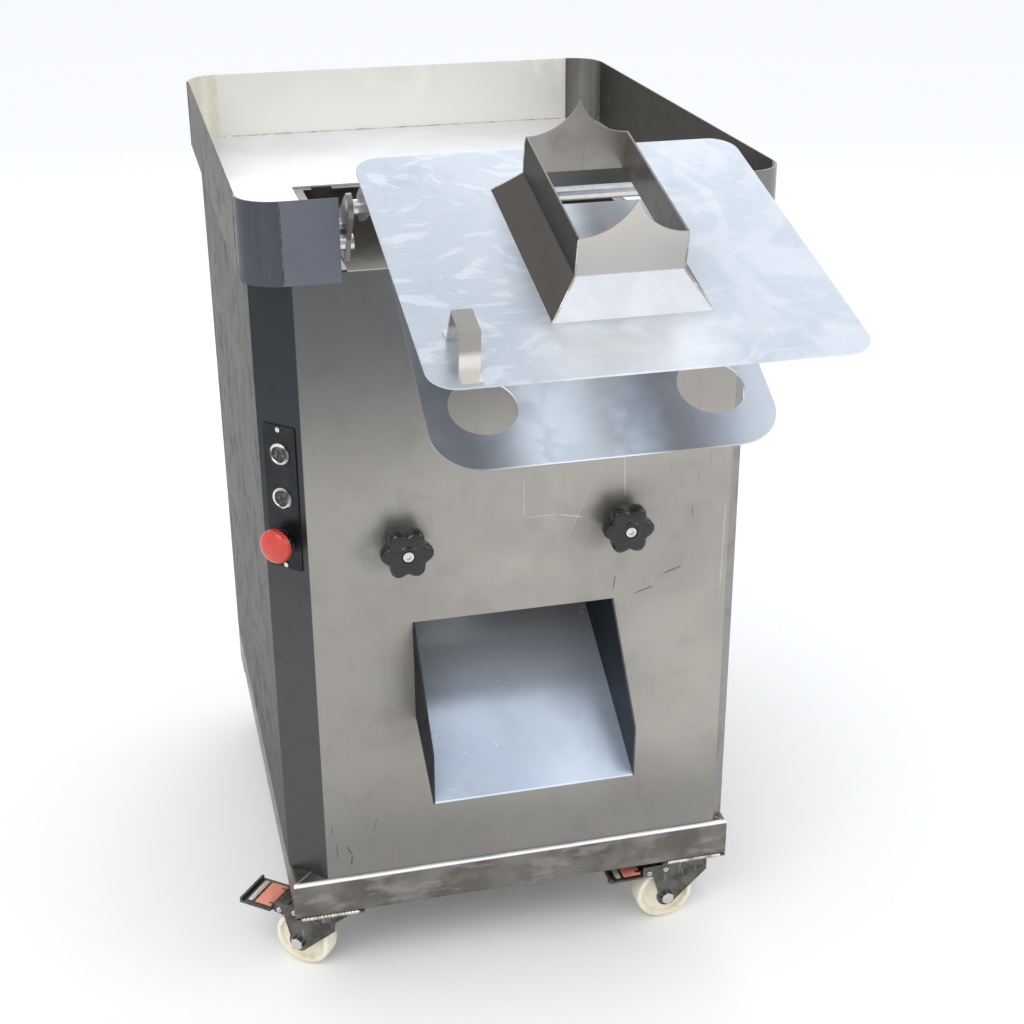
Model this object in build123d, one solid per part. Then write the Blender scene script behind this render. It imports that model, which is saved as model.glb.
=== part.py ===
from build123d import *
import os
from math import asin, cos, pi, radians, sin, tan

# Meat shredder: a stainless cabinet on four casters, a walled tray on top, a funnel lid and a
# cover that both hinge on one bar at the tray's front, and a pair of toothed rolls inside.
# The origin is on the ground, under the middle of the base frame. X is right, Y back, Z up.

# Base frame and casters
frame_width = 550.0
frame_depth = 680.0
tube_size = 50.0
tube_wall = 2.0
caster_height = 96.0
caster_inset_x = 42.0
caster_inset_y = 28.0

# Cabinet
sheet = 2.0
body_height = 755.0
front_inset = 5.0
left_chamfer_x = 42.0
left_chamfer_y = 41.0
right_chamfer_x = 17.0
right_chamfer_y = 19.0

# Tray
tray_overhang_side = 12.0
tray_overhang_front = 38.0
tray_overhang_rear = 3.0
rim_height = 84.0
rim_corner_radius = 41.5

# Lid with its funnel, as it lies when shut
lid_width = 370.0
lid_length = 370.0
lid_corner_radius = 25.0
lid_gap = 2.0
lid_seat_gap = 0.3
lid_open_angle = 195.5
hinge_to_lid = 52.0
throat_width = 94.0
throat_length = 176.0
throat_start = 95.0
flare_reach = 22.5
flare_height = 28.0
throat_height = 63.0
crown_height = 94.0
crown_radius = 50.0
loop_left = -160.0
loop_width = 17.0
loop_rise = 37.0
loop_back = 292.0
loop_front = 367.0
loop_foot = 12.0
loop_rear_run = 14.0
loop_front_run = 5.0
loop_bend_gain = 1.5

# Hinge bar and its brackets
bar_radius = 7.5
bar_ahead = 54.0
bar_height = 80.0
running_gap = 0.05
bracket_thick = 5.0
bracket_offset = 8.0
bracket_round = 14.0

# Cover with two finger holes
cover_width = 319.0
cover_reach = 352.0
cover_start = 38.0
cover_lift = 22.0
cover_open_angle = 209.4
cover_corner_radius = 44.0
finger_hole_radius = 31.5
finger_hole_spacing = 212.0
finger_hole_inset = 68.5
cover_side_gap = 5.0
cover_near_radius = 8.0

# Feed well below the tray
well_depth = 60.0
ledge_width = 12.0

# Toothed rolls
disc_radius = 48.0
disc_thick = 5.8
disc_pitch = 12.0
disc_count = 14
spacer_radius = 30.0
roll_shaft_radius = 14.0
tooth_notch_radius = 3.0
tooth_notch_count = 12
end_plate_width = 300.0
bush_radius = 20.0

# Gears and belt drive
gear_teeth = 47
gear_width = 18.0
tooth_slack = 0.35
big_pulley_radius = 90.0
small_pulley_radius = 32.0
pulley_width = 22.0
belt_thick = 6.0
belt_gap = 0.3
motor_radius = 68.0
motor_rear_gap = 30.0
motor_axis_height = 210.0

# Outlet chute
chute_width = 238.0
chute_top = 385.5
chute_sill = 261.0
chute_slope = 31.0
chute_reach = 95.0
chute_cheek_height = 63.0

# Star knobs
knob_spacing = 255.0
knob_height = 485.0
knob_radius = 30.0
knob_thick = 20.0
knob_face = 35.0
stud_radius = 6.0
boss_radius = 11.0

# Controls on the left chamfer
plate_width = 42.5
plate_height = 170.0
plate_centre = 547.0
button_pitch = 52.0
estop_pitch = 51.0
button_heights = (plate_centre + button_pitch, plate_centre)
estop_height = plate_centre - estop_pitch
button_hole_radius = 11.0
bezel_radius = 12.8
cap_radius = 8.6
estop_radius = 20.0

# Places that follow from the sizes above
front = -frame_depth / 2
rear = frame_depth / 2
half = frame_width / 2
frame_top = caster_height + tube_size
floor_top = frame_top + body_height
floor_under = floor_top - sheet
rim_top = floor_top + rim_height
panel_face = front + front_inset
panel_back = panel_face + sheet
tray_half = half + tray_overhang_side
tray_front = front - tray_overhang_front
tray_rear = rear + tray_overhang_rear
opening_half = lid_width / 2 + lid_gap
bar_y = front - bar_ahead
bar_z = floor_top - sheet + bar_height
lid_under = floor_under + lid_seat_gap
lid_near = bar_y + hinge_to_lid
opening_rear = lid_near + lid_length + lid_gap
roll_offset = throat_width / 2
axis_z = lid_under - throat_height - crown_radius
throat_front = lid_near + throat_start
throat_rear = throat_front + throat_length
throat_clearance = 5.0
os.makedirs("parts", exist_ok=True)


def save(name, *pieces):
    """Write one named sub-part, a single solid or a group of separate solids."""
    solids = [solid for piece in pieces for solid in piece.solids()]
    shape = solids[0] if len(solids) == 1 else Compound(children=solids)
    export_step(shape, f"parts/{name}.step")


def block(x0, x1, y0, y1, z0, z1):
    """A box between two corners."""
    size = Box(x1 - x0, y1 - y0, z1 - z0)
    return Pos((x0 + x1) / 2, (y0 + y1) / 2, (z0 + z1) / 2) * size


def mirrored(piece):
    """The piece's twin on the other side of the machine."""
    return mirror(piece, about=Plane.YZ)


def rod_y(x, z, radius, y0, y1):
    """A round bar along Y."""
    place = Plane(origin=(x, y0, z), x_dir=(1, 0, 0), z_dir=(0, 1, 0))
    return place * extrude(Circle(radius), amount=y1 - y0)


def rod_x(y, z, radius, x0, x1):
    """A round bar along X."""
    place = Plane(origin=(x0, y, z), x_dir=(0, 1, 0), z_dir=(1, 0, 0))
    return place * extrude(Circle(radius), amount=x1 - x0)


def rod_z(x, y, radius, z0, z1):
    """A round bar along Z."""
    return Pos(x, y, z0) * extrude(Circle(radius), amount=z1 - z0)


def side_profile(points, x0, x1):
    """A plate across X, from an outline of (y, z) points."""
    place = Plane(origin=(x0, 0, 0), x_dir=(0, 1, 0), z_dir=(1, 0, 0))
    return place * extrude(make_face(Polyline(*points, close=True)), amount=x1 - x0)


def plan_profile(points, z0, z1):
    """A plate or wall across Z, from an outline of (x, y) points."""
    return Pos(0, 0, z0) * extrude(make_face(Polyline(*points, close=True)), amount=z1 - z0)


# Base frame: four square tubes, mitred and welded at the corners
def base_frame():
    outer = Box(frame_width, frame_depth, tube_size)
    inner = Box(frame_width - 2 * tube_size, frame_depth - 2 * tube_size, tube_size)
    bore_outer = Box(frame_width - 2 * tube_wall, frame_depth - 2 * tube_wall, tube_size - 2 * tube_wall)
    bore_inner = Box(
        frame_width - 2 * (tube_size - tube_wall),
        frame_depth - 2 * (tube_size - tube_wall),
        tube_size - 2 * tube_wall,
    )
    ring = Pos(0, 0, caster_height + tube_size / 2) * (outer - inner - (bore_outer - bore_inner))
    in_x = half - tube_size
    in_y = rear - tube_size
    corners = [(-half, front), (half, front), (half, rear), (-half, rear)]
    inside = [(-in_x, -in_y), (in_x, -in_y), (in_x, in_y), (-in_x, in_y)]
    tubes = []
    for i in range(4):
        j = (i + 1) % 4
        wedge = plan_profile([corners[i], corners[j], inside[j], inside[i]], caster_height, frame_top)
        tubes.append(ring & wedge)
    return tubes


save("base_frame", *base_frame())

# The cabinet's front outline, from its left side round both chamfers to its right side
front_outline = [
    (-half, panel_face + left_chamfer_y),
    (-half + left_chamfer_x, panel_face),
    (half - right_chamfer_x, panel_face),
    (half, panel_face + right_chamfer_y),
]


def inset_corner(p0, p1, p2, depth):
    """The point inside a bend of a sheet whose outer face turns from p0-p1 to p1-p2."""
    a = (Vector(*p1) - Vector(*p0)).normalized()
    b = (Vector(*p2) - Vector(*p1)).normalized()
    na = Vector(-a.Y, a.X, 0)
    nb = Vector(-b.Y, b.X, 0)
    total = na + nb
    step = total * (2 * depth / (total.length * total.length))
    return (p1[0] + step.X, p1[1] + step.Y)


around = [(-half, rear)] + front_outline + [(half, rear)]
front_inner = [inset_corner(around[i - 1], around[i], around[i + 1], sheet) for i in range(1, 5)]

# Base plate: the cabinet's floor pan, which carries the motor
pan_outline = front_inner + [(half - sheet, rear - sheet), (-half + sheet, rear - sheet)]
save("base_plate", plan_profile(pan_outline, frame_top, frame_top + sheet))

# Front panel: one sheet bent back at both chamfers, with the outlet, knob and control holes
knob_z = caster_height + knob_height
stud_hole_gap = 0.5
chamfer_start = Vector(-half, panel_face + left_chamfer_y, 0)
chamfer_end = Vector(-half + left_chamfer_x, panel_face, 0)
chamfer_along = (chamfer_end - chamfer_start).normalized()
chamfer_out = Vector(chamfer_along.Y, -chamfer_along.X, 0)
chamfer_mid = (chamfer_start + chamfer_end) * 0.5


def on_chamfer(height):
    """The frame of a control on the left chamfer: x along the face, z straight out of it."""
    origin = chamfer_mid + Vector(0, 0, caster_height + height)
    return Plane(origin=origin, x_dir=chamfer_along, z_dir=chamfer_out)


def front_panel():
    sheet_body = plan_profile(front_outline + front_inner[::-1], frame_top, floor_under)
    gap = block(-opening_half, opening_half, panel_face, panel_back, floor_under - sheet, floor_under)
    outlet = block(
        -chute_width / 2 - lid_seat_gap,
        chute_width / 2 + lid_seat_gap,
        panel_face,
        panel_back,
        caster_height + chute_sill - sheet / cos(radians(chute_slope)) - sheet,
        caster_height + chute_top,
    )
    sheet_body = sheet_body - gap - outlet
    for x in (-knob_spacing / 2, knob_spacing / 2):
        sheet_body -= rod_y(x, knob_z, stud_radius + stud_hole_gap, panel_face, panel_back)
    for height in (*button_heights, estop_height):
        hole = extrude(Circle(button_hole_radius), amount=3 * sheet)
        sheet_body -= on_chamfer(height) * Pos(0, 0, -2 * sheet) * hole
    return sheet_body


save("front_panel", front_panel())

# Side panels: flat sheets from the chamfer returns to the rear panel
left_plan = [front_outline[0], front_inner[0], (-half + sheet, rear), (-half, rear)]
right_plan = [front_outline[3], front_inner[3], (half - sheet, rear), (half, rear)]
save("left_side_panel", plan_profile(left_plan, frame_top, floor_under))
save("right_side_panel", plan_profile(right_plan, frame_top, floor_under))

# Rear panel: a removable sheet with vent slots beside the motor and a hole for the cable gland
vent_count = 9
vent_pitch = 16.0
vent_length = 90.0
vent_width = 5.0
vent_column_gap = 27.0
vent_rise = 120.0
vent_low = caster_height + vent_rise
gland_inset = 85.0
gland_rise = 110.0
gland_x = -half + gland_inset
gland_z = caster_height + gland_rise
gland_thread_radius = 10.0
gland_thread_length = 14.0
gland_nut_radius = 14.0
gland_nut_thick = 10.0
gland_cap_radius = 11.0
gland_cap_length = 22.0
cable_radius = 4.0


def rear_panel():
    panel = block(-half + sheet, half - sheet, rear - sheet, rear, frame_top, floor_under)
    slot = extrude(SlotOverall(vent_length, vent_width), amount=3 * sheet)
    column_x = (vent_length + vent_column_gap) / 2
    for x in (-column_x, column_x):
        for i in range(vent_count):
            corner = (x, rear - 2 * sheet, vent_low + i * vent_pitch)
            panel -= Plane(origin=corner, x_dir=(1, 0, 0), z_dir=(0, 1, 0)) * slot
    return panel - rod_y(gland_x, gland_z, gland_thread_radius, rear - sheet, rear)


save("rear_panel", rear_panel())


def cable_gland():
    start = rear - sheet - gland_thread_length
    body = rod_y(gland_x, gland_z, gland_thread_radius, start, rear)
    body += rod_y(gland_x, gland_z, gland_cap_radius, rear, rear + gland_cap_length)
    place = Plane(origin=(gland_x, rear, gland_z), x_dir=(1, 0, 0), z_dir=(0, 1, 0))
    body += place * extrude(RegularPolygon(gland_nut_radius, 6), amount=gland_nut_thick)
    return body - rod_y(gland_x, gland_z, cable_radius, start, rear + gland_cap_length)


save("cable_gland", cable_gland())


# Tray floor: one sheet with the square feed opening and the notch that the lids swing through
def rounded_plan(half_width, y0, y1, radius, z0, z1):
    face = Pos(0, (y0 + y1) / 2) * RectangleRounded(2 * half_width, y1 - y0, radius)
    return Pos(0, 0, z0) * extrude(face, amount=z1 - z0)


def tray_floor():
    plate = rounded_plan(
        tray_half - sheet,
        tray_front + sheet,
        tray_rear - sheet,
        rim_corner_radius - sheet,
        floor_under,
        floor_top,
    )
    return plate - block(-opening_half, opening_half, tray_front, opening_rear, floor_under, floor_top)


save("tray_floor", tray_floor())


# Tray walls: two sides, the rear, the two short front stubs and the returns beside the notch
return_height = 67.0


def tray_walls():
    low = floor_under
    side_y0 = tray_front + rim_corner_radius
    side_y1 = tray_rear - rim_corner_radius
    inner_x = tray_half - rim_corner_radius
    left = block(-tray_half, -tray_half + sheet, side_y0, side_y1, low, rim_top)
    stub = block(-inner_x, -opening_half, tray_front, tray_front + sheet, low, rim_top)
    back = block(-inner_x, inner_x, tray_rear - sheet, tray_rear, low, rim_top)
    side_return = block(
        -opening_half - sheet,
        -opening_half,
        tray_front + sheet,
        panel_face,
        floor_top,
        floor_top + return_height,
    )
    stub = stub + side_return
    return [left, mirrored(left), stub, mirrored(stub), back]


save("tray_walls", *tray_walls())


# Tray corners: four quarter-round pieces welded between the walls
def tray_corners():
    ring = Circle(rim_corner_radius) - Circle(rim_corner_radius - sheet)
    square = Rectangle(rim_corner_radius, rim_corner_radius)
    quarter = ring & (Pos(-rim_corner_radius / 2, -rim_corner_radius / 2) * square)
    solid = extrude(quarter, amount=rim_top - floor_under)
    inner_x = tray_half - rim_corner_radius
    low_y = tray_front + rim_corner_radius
    high_y = tray_rear - rim_corner_radius
    places = [(-inner_x, low_y, 0), (inner_x, low_y, 90), (inner_x, high_y, 180), (-inner_x, high_y, 270)]
    return [Pos(x, y, floor_under) * Rot(0, 0, turn) * solid for x, y, turn in places]


save("tray_corners", *tray_corners())

# Feed well: a shallow welded box below the opening, open over the rolls
well_low = floor_under - well_depth
cut_half = throat_width / 2 + throat_clearance
swing_room = 18.0
loop_clearance = 4.0


def feed_well():
    side = opening_half
    slot_front = throat_front - throat_clearance
    slot_rear = throat_rear + swing_room
    outer = block(-side - sheet, side + sheet, panel_back, opening_rear + sheet, well_low, floor_under)
    inner = block(-side, side, panel_back + sheet, opening_rear, well_low + sheet, floor_under)
    slot = block(-cut_half, cut_half, slot_front, slot_rear, well_low, well_low + sheet)
    front_gap = block(-side, side, panel_back, panel_back + sheet, floor_under - sheet, floor_under)
    return outer - inner - slot - front_gap


# The narrow strips at the well's rim, which the shut lid rests on
def lid_ledge():
    low = floor_under - sheet
    left = block(-opening_half, -opening_half + ledge_width, panel_back, opening_rear, low, floor_under)
    back = block(
        -opening_half + ledge_width,
        opening_half - ledge_width,
        opening_rear - ledge_width,
        opening_rear,
        low,
        floor_under,
    )
    loop_gap = block(
        loop_left - loop_clearance,
        loop_left + loop_width + loop_clearance,
        opening_rear - ledge_width,
        opening_rear,
        low,
        floor_under,
    )
    return left + mirrored(left) + back - loop_gap


save("feed_well", feed_well() + lid_ledge())

# Hinge bar: one round bar across the notch, carried by a bracket at each end
bracket_out = opening_half - bracket_offset + bracket_thick / 2
bracket_in = bracket_out - bracket_thick
save("hinge_bar", rod_x(bar_y, bar_z, bar_radius, -bracket_out, bracket_out))

# Hinge brackets: tapered plates with a round top, bolted to the returns beside the notch
bolt_radius = 4.0
bolt_head_thick = 4.0
low_bolt_ahead = 27.0
low_bolt_rise = 36.0
high_bolt_ahead = 9.0
high_bolt_rise = 48.0
bolt_spots = [
    (front - low_bolt_ahead, floor_top + low_bolt_rise),
    (front - high_bolt_ahead, floor_top + high_bolt_rise),
]
bracket_low_rise = 16.0
bracket_high_rise = 64.0
bracket_knee_rise = 42.0
bracket_rear_gap = 2.0
bracket_low = floor_top + bracket_low_rise
bracket_high = floor_top + bracket_high_rise
bracket_knee = floor_top + bracket_knee_rise
bracket_rear = front - bracket_rear_gap
bracket_foot = 25.0
bracket_belly = 39.0


def hinge_bracket():
    lean_low = radians(224)
    lean_high = radians(68)
    outline = [
        (bar_y + bracket_round * cos(lean_low), bar_z + bracket_round * sin(lean_low)),
        (bracket_rear - bracket_belly, bracket_knee),
        (bracket_rear - bracket_foot, bracket_low),
        (bracket_rear, bracket_low),
        (bracket_rear, bracket_high),
        (bar_y + bracket_round * cos(lean_high), bar_z + bracket_round * sin(lean_high)),
    ]
    plate = side_profile(outline, -bracket_out, -bracket_in)
    plate += rod_x(bar_y, bar_z, bracket_round, -bracket_out, -bracket_in)
    plate -= rod_x(bar_y, bar_z, bar_radius, -bracket_out, -bracket_in)
    for y, z in bolt_spots:
        plate -= rod_x(y, z, bolt_radius, -bracket_out, -bracket_in)
    return plate


save("hinge_brackets", hinge_bracket(), mirrored(hinge_bracket()))


def bracket_bolts():
    """Two bolts a side, each with a spacer between the bracket and the return."""
    solids = []
    for y, z in bolt_spots:
        head = rod_x(y, z, 2 * bolt_radius, -bracket_in, -bracket_in + bolt_head_thick)
        shank = rod_x(y, z, bolt_radius, -bracket_out, -bracket_in)
        spacer = rod_x(y, z, 2 * bolt_radius, -opening_half, -bracket_out)
        solids.append(head + shank + spacer)
    return solids + [mirrored(s) for s in solids]


# Lid: modelled flat in its own frame, x across, y back towards the hinge, z out of the funnel side
def swung(along, drop, angle):
    """Where a point of the shut lid goes when it swings open about the bar."""
    turn = radians(angle)
    y = bar_y + along * cos(turn) + drop * sin(turn)
    z = bar_z + along * sin(turn) - drop * cos(turn)
    return y, z


lid_drop = bar_z - lid_under
lid_y, lid_z = swung(hinge_to_lid, lid_drop, lid_open_angle)
lid_tilt = radians(lid_open_angle - 180)
lid_frame = Plane(origin=(0, lid_y, lid_z), x_dir=(1, 0, 0), z_dir=(0, -sin(lid_tilt), cos(lid_tilt)))


def lid_box(x0, x1, v0, v1, h0, h1):
    """A box on the lid: v runs from its hinge edge outwards, h out of the funnel side."""
    return block(x0, x1, -v1, -v0, h0, h1)


def lid_side(points, x0, x1):
    """A plate that stands on the lid, from an outline of (v, h) points."""
    return side_profile([(-v, h) for v, h in points], x0, x1)


flare_half_x = throat_width / 2 + flare_reach
flare_half_v = throat_length / 2 + flare_reach
throat_mid = throat_start + throat_length / 2


def lid_plate():
    face = Pos(0, -lid_length / 2) * RectangleRounded(lid_width, lid_length, lid_corner_radius)
    hole = Pos(0, -throat_mid) * Rectangle(2 * (flare_half_x - sheet), 2 * (flare_half_v - sheet))
    return Pos(0, 0, -sheet) * extrude(face - hole, amount=sheet)


def frustum(inset):
    """The flare's solid, or its hollow when inset by the sheet."""
    low = Rectangle(2 * (flare_half_x - inset), 2 * (flare_half_v - inset))
    high = Pos(0, 0, flare_height) * Rectangle(throat_width - 2 * inset, throat_length - 2 * inset)
    return Pos(0, -throat_mid, 0) * loft([low, high])


def lid_funnel():
    """Four flared plates and four upright ones, whose crowns are cut to the rolls' curve."""
    flare = frustum(0) - frustum(sheet)
    v0 = throat_start
    v1 = throat_start + throat_length
    w = throat_width / 2
    throat = lid_box(-w, w, v0, v1, flare_height, crown_height)
    throat -= lid_box(-w + sheet, w - sheet, v0 + sheet, v1 - sheet, flare_height, crown_height)
    for x in (-roll_offset, roll_offset):
        throat -= rod_y(x, throat_height + crown_radius, crown_radius, -v1, -v0)
    return flare + throat


def lid_catch_loop():
    """A bent strip with two feet, near the lid's free left corner."""
    t = sheet
    rear_bend = loop_back + loop_foot
    rear_top = rear_bend + loop_rear_run
    front_bend = loop_front - loop_foot
    front_top = front_bend - loop_front_run
    outline = [
        (loop_back, 0),
        (loop_back, t),
        (rear_bend, t),
        (rear_top, loop_rise),
        (front_top, loop_rise),
        (front_bend, t),
        (loop_front, t),
        (loop_front, 0),
        (front_bend - t, 0),
        (front_top - t, loop_rise - t),
        (rear_top + loop_bend_gain, loop_rise - t),
        (rear_bend + loop_bend_gain, 0),
    ]
    return lid_side(outline, loop_left, loop_left + loop_width)


arm_in = cover_width / 2 + cover_side_gap
arm_thick = 5.0
arm_foot_start = 4.0
arm_foot_end = 70.0
hub_radius = 14.0


def lid_arm():
    """A plate from the bar to the lid's back face, with the bar's running hole."""
    bar_v = -hinge_to_lid
    bar_h = -lid_drop
    lean_v = hub_radius * cos(radians(38))
    lean_h = hub_radius * sin(radians(38))
    outline = [
        (bar_v - lean_v, bar_h + lean_h),
        (arm_foot_start, -sheet),
        (arm_foot_end, -sheet),
        (bar_v + lean_v, bar_h - lean_h),
    ]
    x0 = -arm_in - arm_thick
    plate = lid_side(outline, x0, -arm_in) + rod_x(-bar_v, bar_h, hub_radius, x0, -arm_in)
    return plate - rod_x(-bar_v, bar_h, bar_radius + running_gap, x0, -arm_in)


save("lid_plate", lid_frame * lid_plate())
save("lid_funnel", lid_frame * lid_funnel())
save("lid_catch_loop", lid_frame * lid_catch_loop())
save("lid_arms", lid_frame * lid_arm(), lid_frame * mirrored(lid_arm()))

# Cover: a plain plate with two finger holes, hinged on the same bar below the open lid
cover_tilt = radians(cover_open_angle - 180)
cover_frame = Plane(origin=(0, bar_y, bar_z), x_dir=(1, 0, 0), z_dir=(0, -sin(cover_tilt), cos(cover_tilt)))
tab_inset = 3.0
tab_length = 60.0
tab_taper = 9.0
tab_round = 13.0
tab_root = 12.5


def cover_plate():
    length = cover_reach - cover_start
    face = Pos(0, -(cover_start + cover_reach) / 2) * Rectangle(cover_width, length)
    free = face.vertices().group_by(Axis.Y)[0]
    face = fillet(free, cover_corner_radius)
    near = face.vertices().group_by(Axis.Y)[-1]
    face = fillet(near, cover_near_radius)
    for x in (-finger_hole_spacing / 2, finger_hole_spacing / 2):
        face -= Pos(x, -(cover_reach - finger_hole_inset)) * Circle(finger_hole_radius)
    return Pos(0, 0, cover_lift - sheet) * extrude(face, amount=sheet)


def cover_tab():
    """A small plate that joins the cover to the bar."""
    x0 = -cover_width / 2 + tab_inset
    x1 = x0 + arm_thick
    under = cover_lift - sheet
    tab_end = cover_start + tab_length
    outline = [
        (0, tab_root),
        (cover_start, under),
        (tab_end, under),
        (tab_end - tab_taper, under - tab_taper),
        (0, -tab_root),
    ]
    plate = side_profile([(-v, h) for v, h in outline], x0, x1) + rod_x(0, 0, tab_round, x0, x1)
    return plate - rod_x(0, 0, bar_radius + running_gap, x0, x1)


save("cover_plate", cover_frame * cover_plate())
save("cover_tabs", cover_frame * cover_tab(), cover_frame * mirrored(cover_tab()))

# Cutter cartridge: two end plates, tie bars and stripper combs around the two rolls
stack_front = throat_front + throat_clearance
plate_front_back = throat_front - throat_clearance
plate_thick = 10.0
plate_front = plate_front_back - plate_thick
plate_rear = throat_rear + throat_clearance
rear_plate_thick = 14.0
bulkhead_y = plate_rear + rear_plate_thick
plate_above_axis = 25.0
plate_below_knob = 25.0
plate_below_axis = 90.0
plate_top = axis_z + plate_above_axis
front_plate_low = knob_z - plate_below_knob
rear_plate_low = axis_z - plate_below_axis
crown_tip_half = 9.0
tie_offset = 135.0
tie_radius = 8.0
low_tie_drop = 70.0
high_tie_rise = 10.0
tie_heights = (axis_z - low_tie_drop, axis_z + high_tie_rise)


def end_plates():
    """The front plate reaches down to the knob studs. The rear one is notched for the crown's tip."""
    w = end_plate_width / 2
    tip = crown_tip_half
    front_plate = block(-w, w, plate_front, plate_front_back, front_plate_low, plate_top)
    rear_plate = block(-w, w, plate_rear, bulkhead_y, rear_plate_low, plate_top)
    rear_plate -= block(-tip, tip, plate_rear, bulkhead_y, axis_z + tip, plate_top)
    for x in (-roll_offset, roll_offset):
        front_plate -= rod_y(x, axis_z, bush_radius, plate_front, plate_front_back)
        rear_plate -= rod_y(x, axis_z, bush_radius, plate_rear, bulkhead_y)
    return front_plate, rear_plate


save("cutter_end_plates", *end_plates())

ties = [
    rod_y(side * tie_offset, z, tie_radius, plate_front_back, plate_rear)
    for side in (-1, 1)
    for z in tie_heights
]
save("cutter_tie_bars", *ties)


def roll_bushes():
    solids = []
    for x in (-roll_offset, roll_offset):
        for y0, y1 in ((plate_front, plate_front_back), (plate_rear, bulkhead_y)):
            ring = rod_y(x, axis_z, bush_radius, y0, y1)
            solids.append(ring - rod_y(x, axis_z, roll_shaft_radius + running_gap, y0, y1))
    return solids


save("roll_bushes", *roll_bushes())


def disc_stack(x, shift):
    """One roll's notched discs with the spacers between them, as separate solids on the shaft."""
    disc = Circle(disc_radius) - Circle(roll_shaft_radius)
    notches = PolarLocations(disc_radius, tooth_notch_count)
    disc -= [place * Circle(tooth_notch_radius) for place in notches]
    spacer = Circle(spacer_radius) - Circle(roll_shaft_radius)
    solids = []
    for i in range(disc_count):
        y = stack_front + shift + i * disc_pitch
        place = Plane(origin=(x, y, axis_z), x_dir=(1, 0, 0), z_dir=(0, 1, 0))
        solids.append(place * extrude(disc, amount=disc_thick))
        if i < disc_count - 1:
            gap = disc_pitch - disc_thick
            solids.append(place * Pos(0, 0, disc_thick) * extrude(spacer, amount=gap))
    return solids


save("roll_discs_left", *disc_stack(-roll_offset, 0.0))
save("roll_discs_right", *disc_stack(roll_offset, disc_pitch / 2))


comb_gap = 1.0
comb_bar_gap = 4.0
comb_bar_thick = 8.0
comb_drop = 25.0
comb_rise = 22.0
comb_low = axis_z - comb_drop
comb_high = axis_z + comb_rise
comb_finger_half = 7.0
comb_slack = 0.5


def stripper_comb(side, shift):
    """A bar outside one roll, with fingers that reach between its discs to the spacers."""
    reach_in = side * (roll_offset + spacer_radius + comb_gap)
    bar_near = side * (roll_offset + disc_radius + comb_bar_gap)
    bar_far = bar_near + side * comb_bar_thick
    low = axis_z - comb_finger_half
    high = axis_z + comb_finger_half
    comb = block(*sorted((bar_near, bar_far)), plate_front_back, plate_rear, comb_low, comb_high)
    for i in range(disc_count - 1):
        y = stack_front + shift + i * disc_pitch + disc_thick + comb_slack
        width = disc_pitch - disc_thick - 2 * comb_slack
        comb += block(*sorted((reach_in, bar_near)), y, y + width, low, high)
    return comb


save("stripper_combs", stripper_comb(-1, 0.0), stripper_comb(1, disc_pitch / 2))

# Drive: a bulkhead, meshed gears, an outboard stand, two pulleys, a belt and the motor
gear_gap = 10.0
stand_gap = 65.0
pulley_gap = 12.0
gear_y = bulkhead_y + gear_gap
stand_y = bulkhead_y + stand_gap
stand_thick = 8.0
pulley_y = opening_rear + sheet + pulley_gap
shaft_stub = 8.0
gear_stub = 4.0
bulkhead_thick = 3.0
bulkhead_hole_gap = 2.0


def bulkhead():
    back = bulkhead_y + bulkhead_thick
    wall = block(-half + sheet, half - sheet, bulkhead_y, back, frame_top + sheet, well_low)
    for x in (-roll_offset, roll_offset):
        wall -= rod_y(x, axis_z, bush_radius + bulkhead_hole_gap, bulkhead_y, back)
    return wall


save("bulkhead", bulkhead())


addendum = 0.9
dedendum = 1.2
root_share = 0.36
tip_share = 0.13


def gear_face(phase):
    """A spur gear's outline: each tooth is a trapezoid that stands on the root circle."""
    module = 2 * roll_offset / gear_teeth
    tip = roll_offset + module * addendum
    root = roll_offset - module * dedendum
    step = 2 * pi / gear_teeth
    at_root = step * root_share - tooth_slack / roll_offset / 2
    at_tip = step * tip_share
    points = []
    for k in range(gear_teeth):
        mid = phase + k * step
        for radius, angle in ((root, -at_root), (tip, -at_tip), (tip, at_tip), (root, at_root)):
            points.append((radius * cos(mid + angle), radius * sin(mid + angle)))
    return make_face(Polyline(*points, close=True)) - Circle(roll_shaft_radius)


def gear(x, phase):
    place = Plane(origin=(x, gear_y, axis_z), x_dir=(1, 0, 0), z_dir=(0, -1, 0))
    return place * Pos(0, 0, -gear_width) * extrude(gear_face(phase), amount=gear_width)


half_tooth = pi / gear_teeth
save("gear_left", gear(-roll_offset, 0.0))
save("gear_right", gear(roll_offset, pi + half_tooth))
shaft_front = plate_front - shaft_stub
left_end = pulley_y + pulley_width + shaft_stub
right_end = gear_y + gear_width + gear_stub
save("roll_shaft_left", rod_y(-roll_offset, axis_z, roll_shaft_radius, shaft_front, left_end))
save("roll_shaft_right", rod_y(roll_offset, axis_z, roll_shaft_radius, shaft_front, right_end))

motor_z = caster_height + motor_axis_height
motor_gap = 22.0
motor_front = pulley_y + pulley_width + motor_gap
motor_length = rear - sheet - motor_rear_gap - motor_front
motor_shaft_radius = 12.0
shaft_in_motor = 58.0
shaft_end_gap = 2.0
stand_above_axis = 40.0
stand_foot = 40.0
stand_boss_length = 12.0
stand_boss_wall = 6.0


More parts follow.
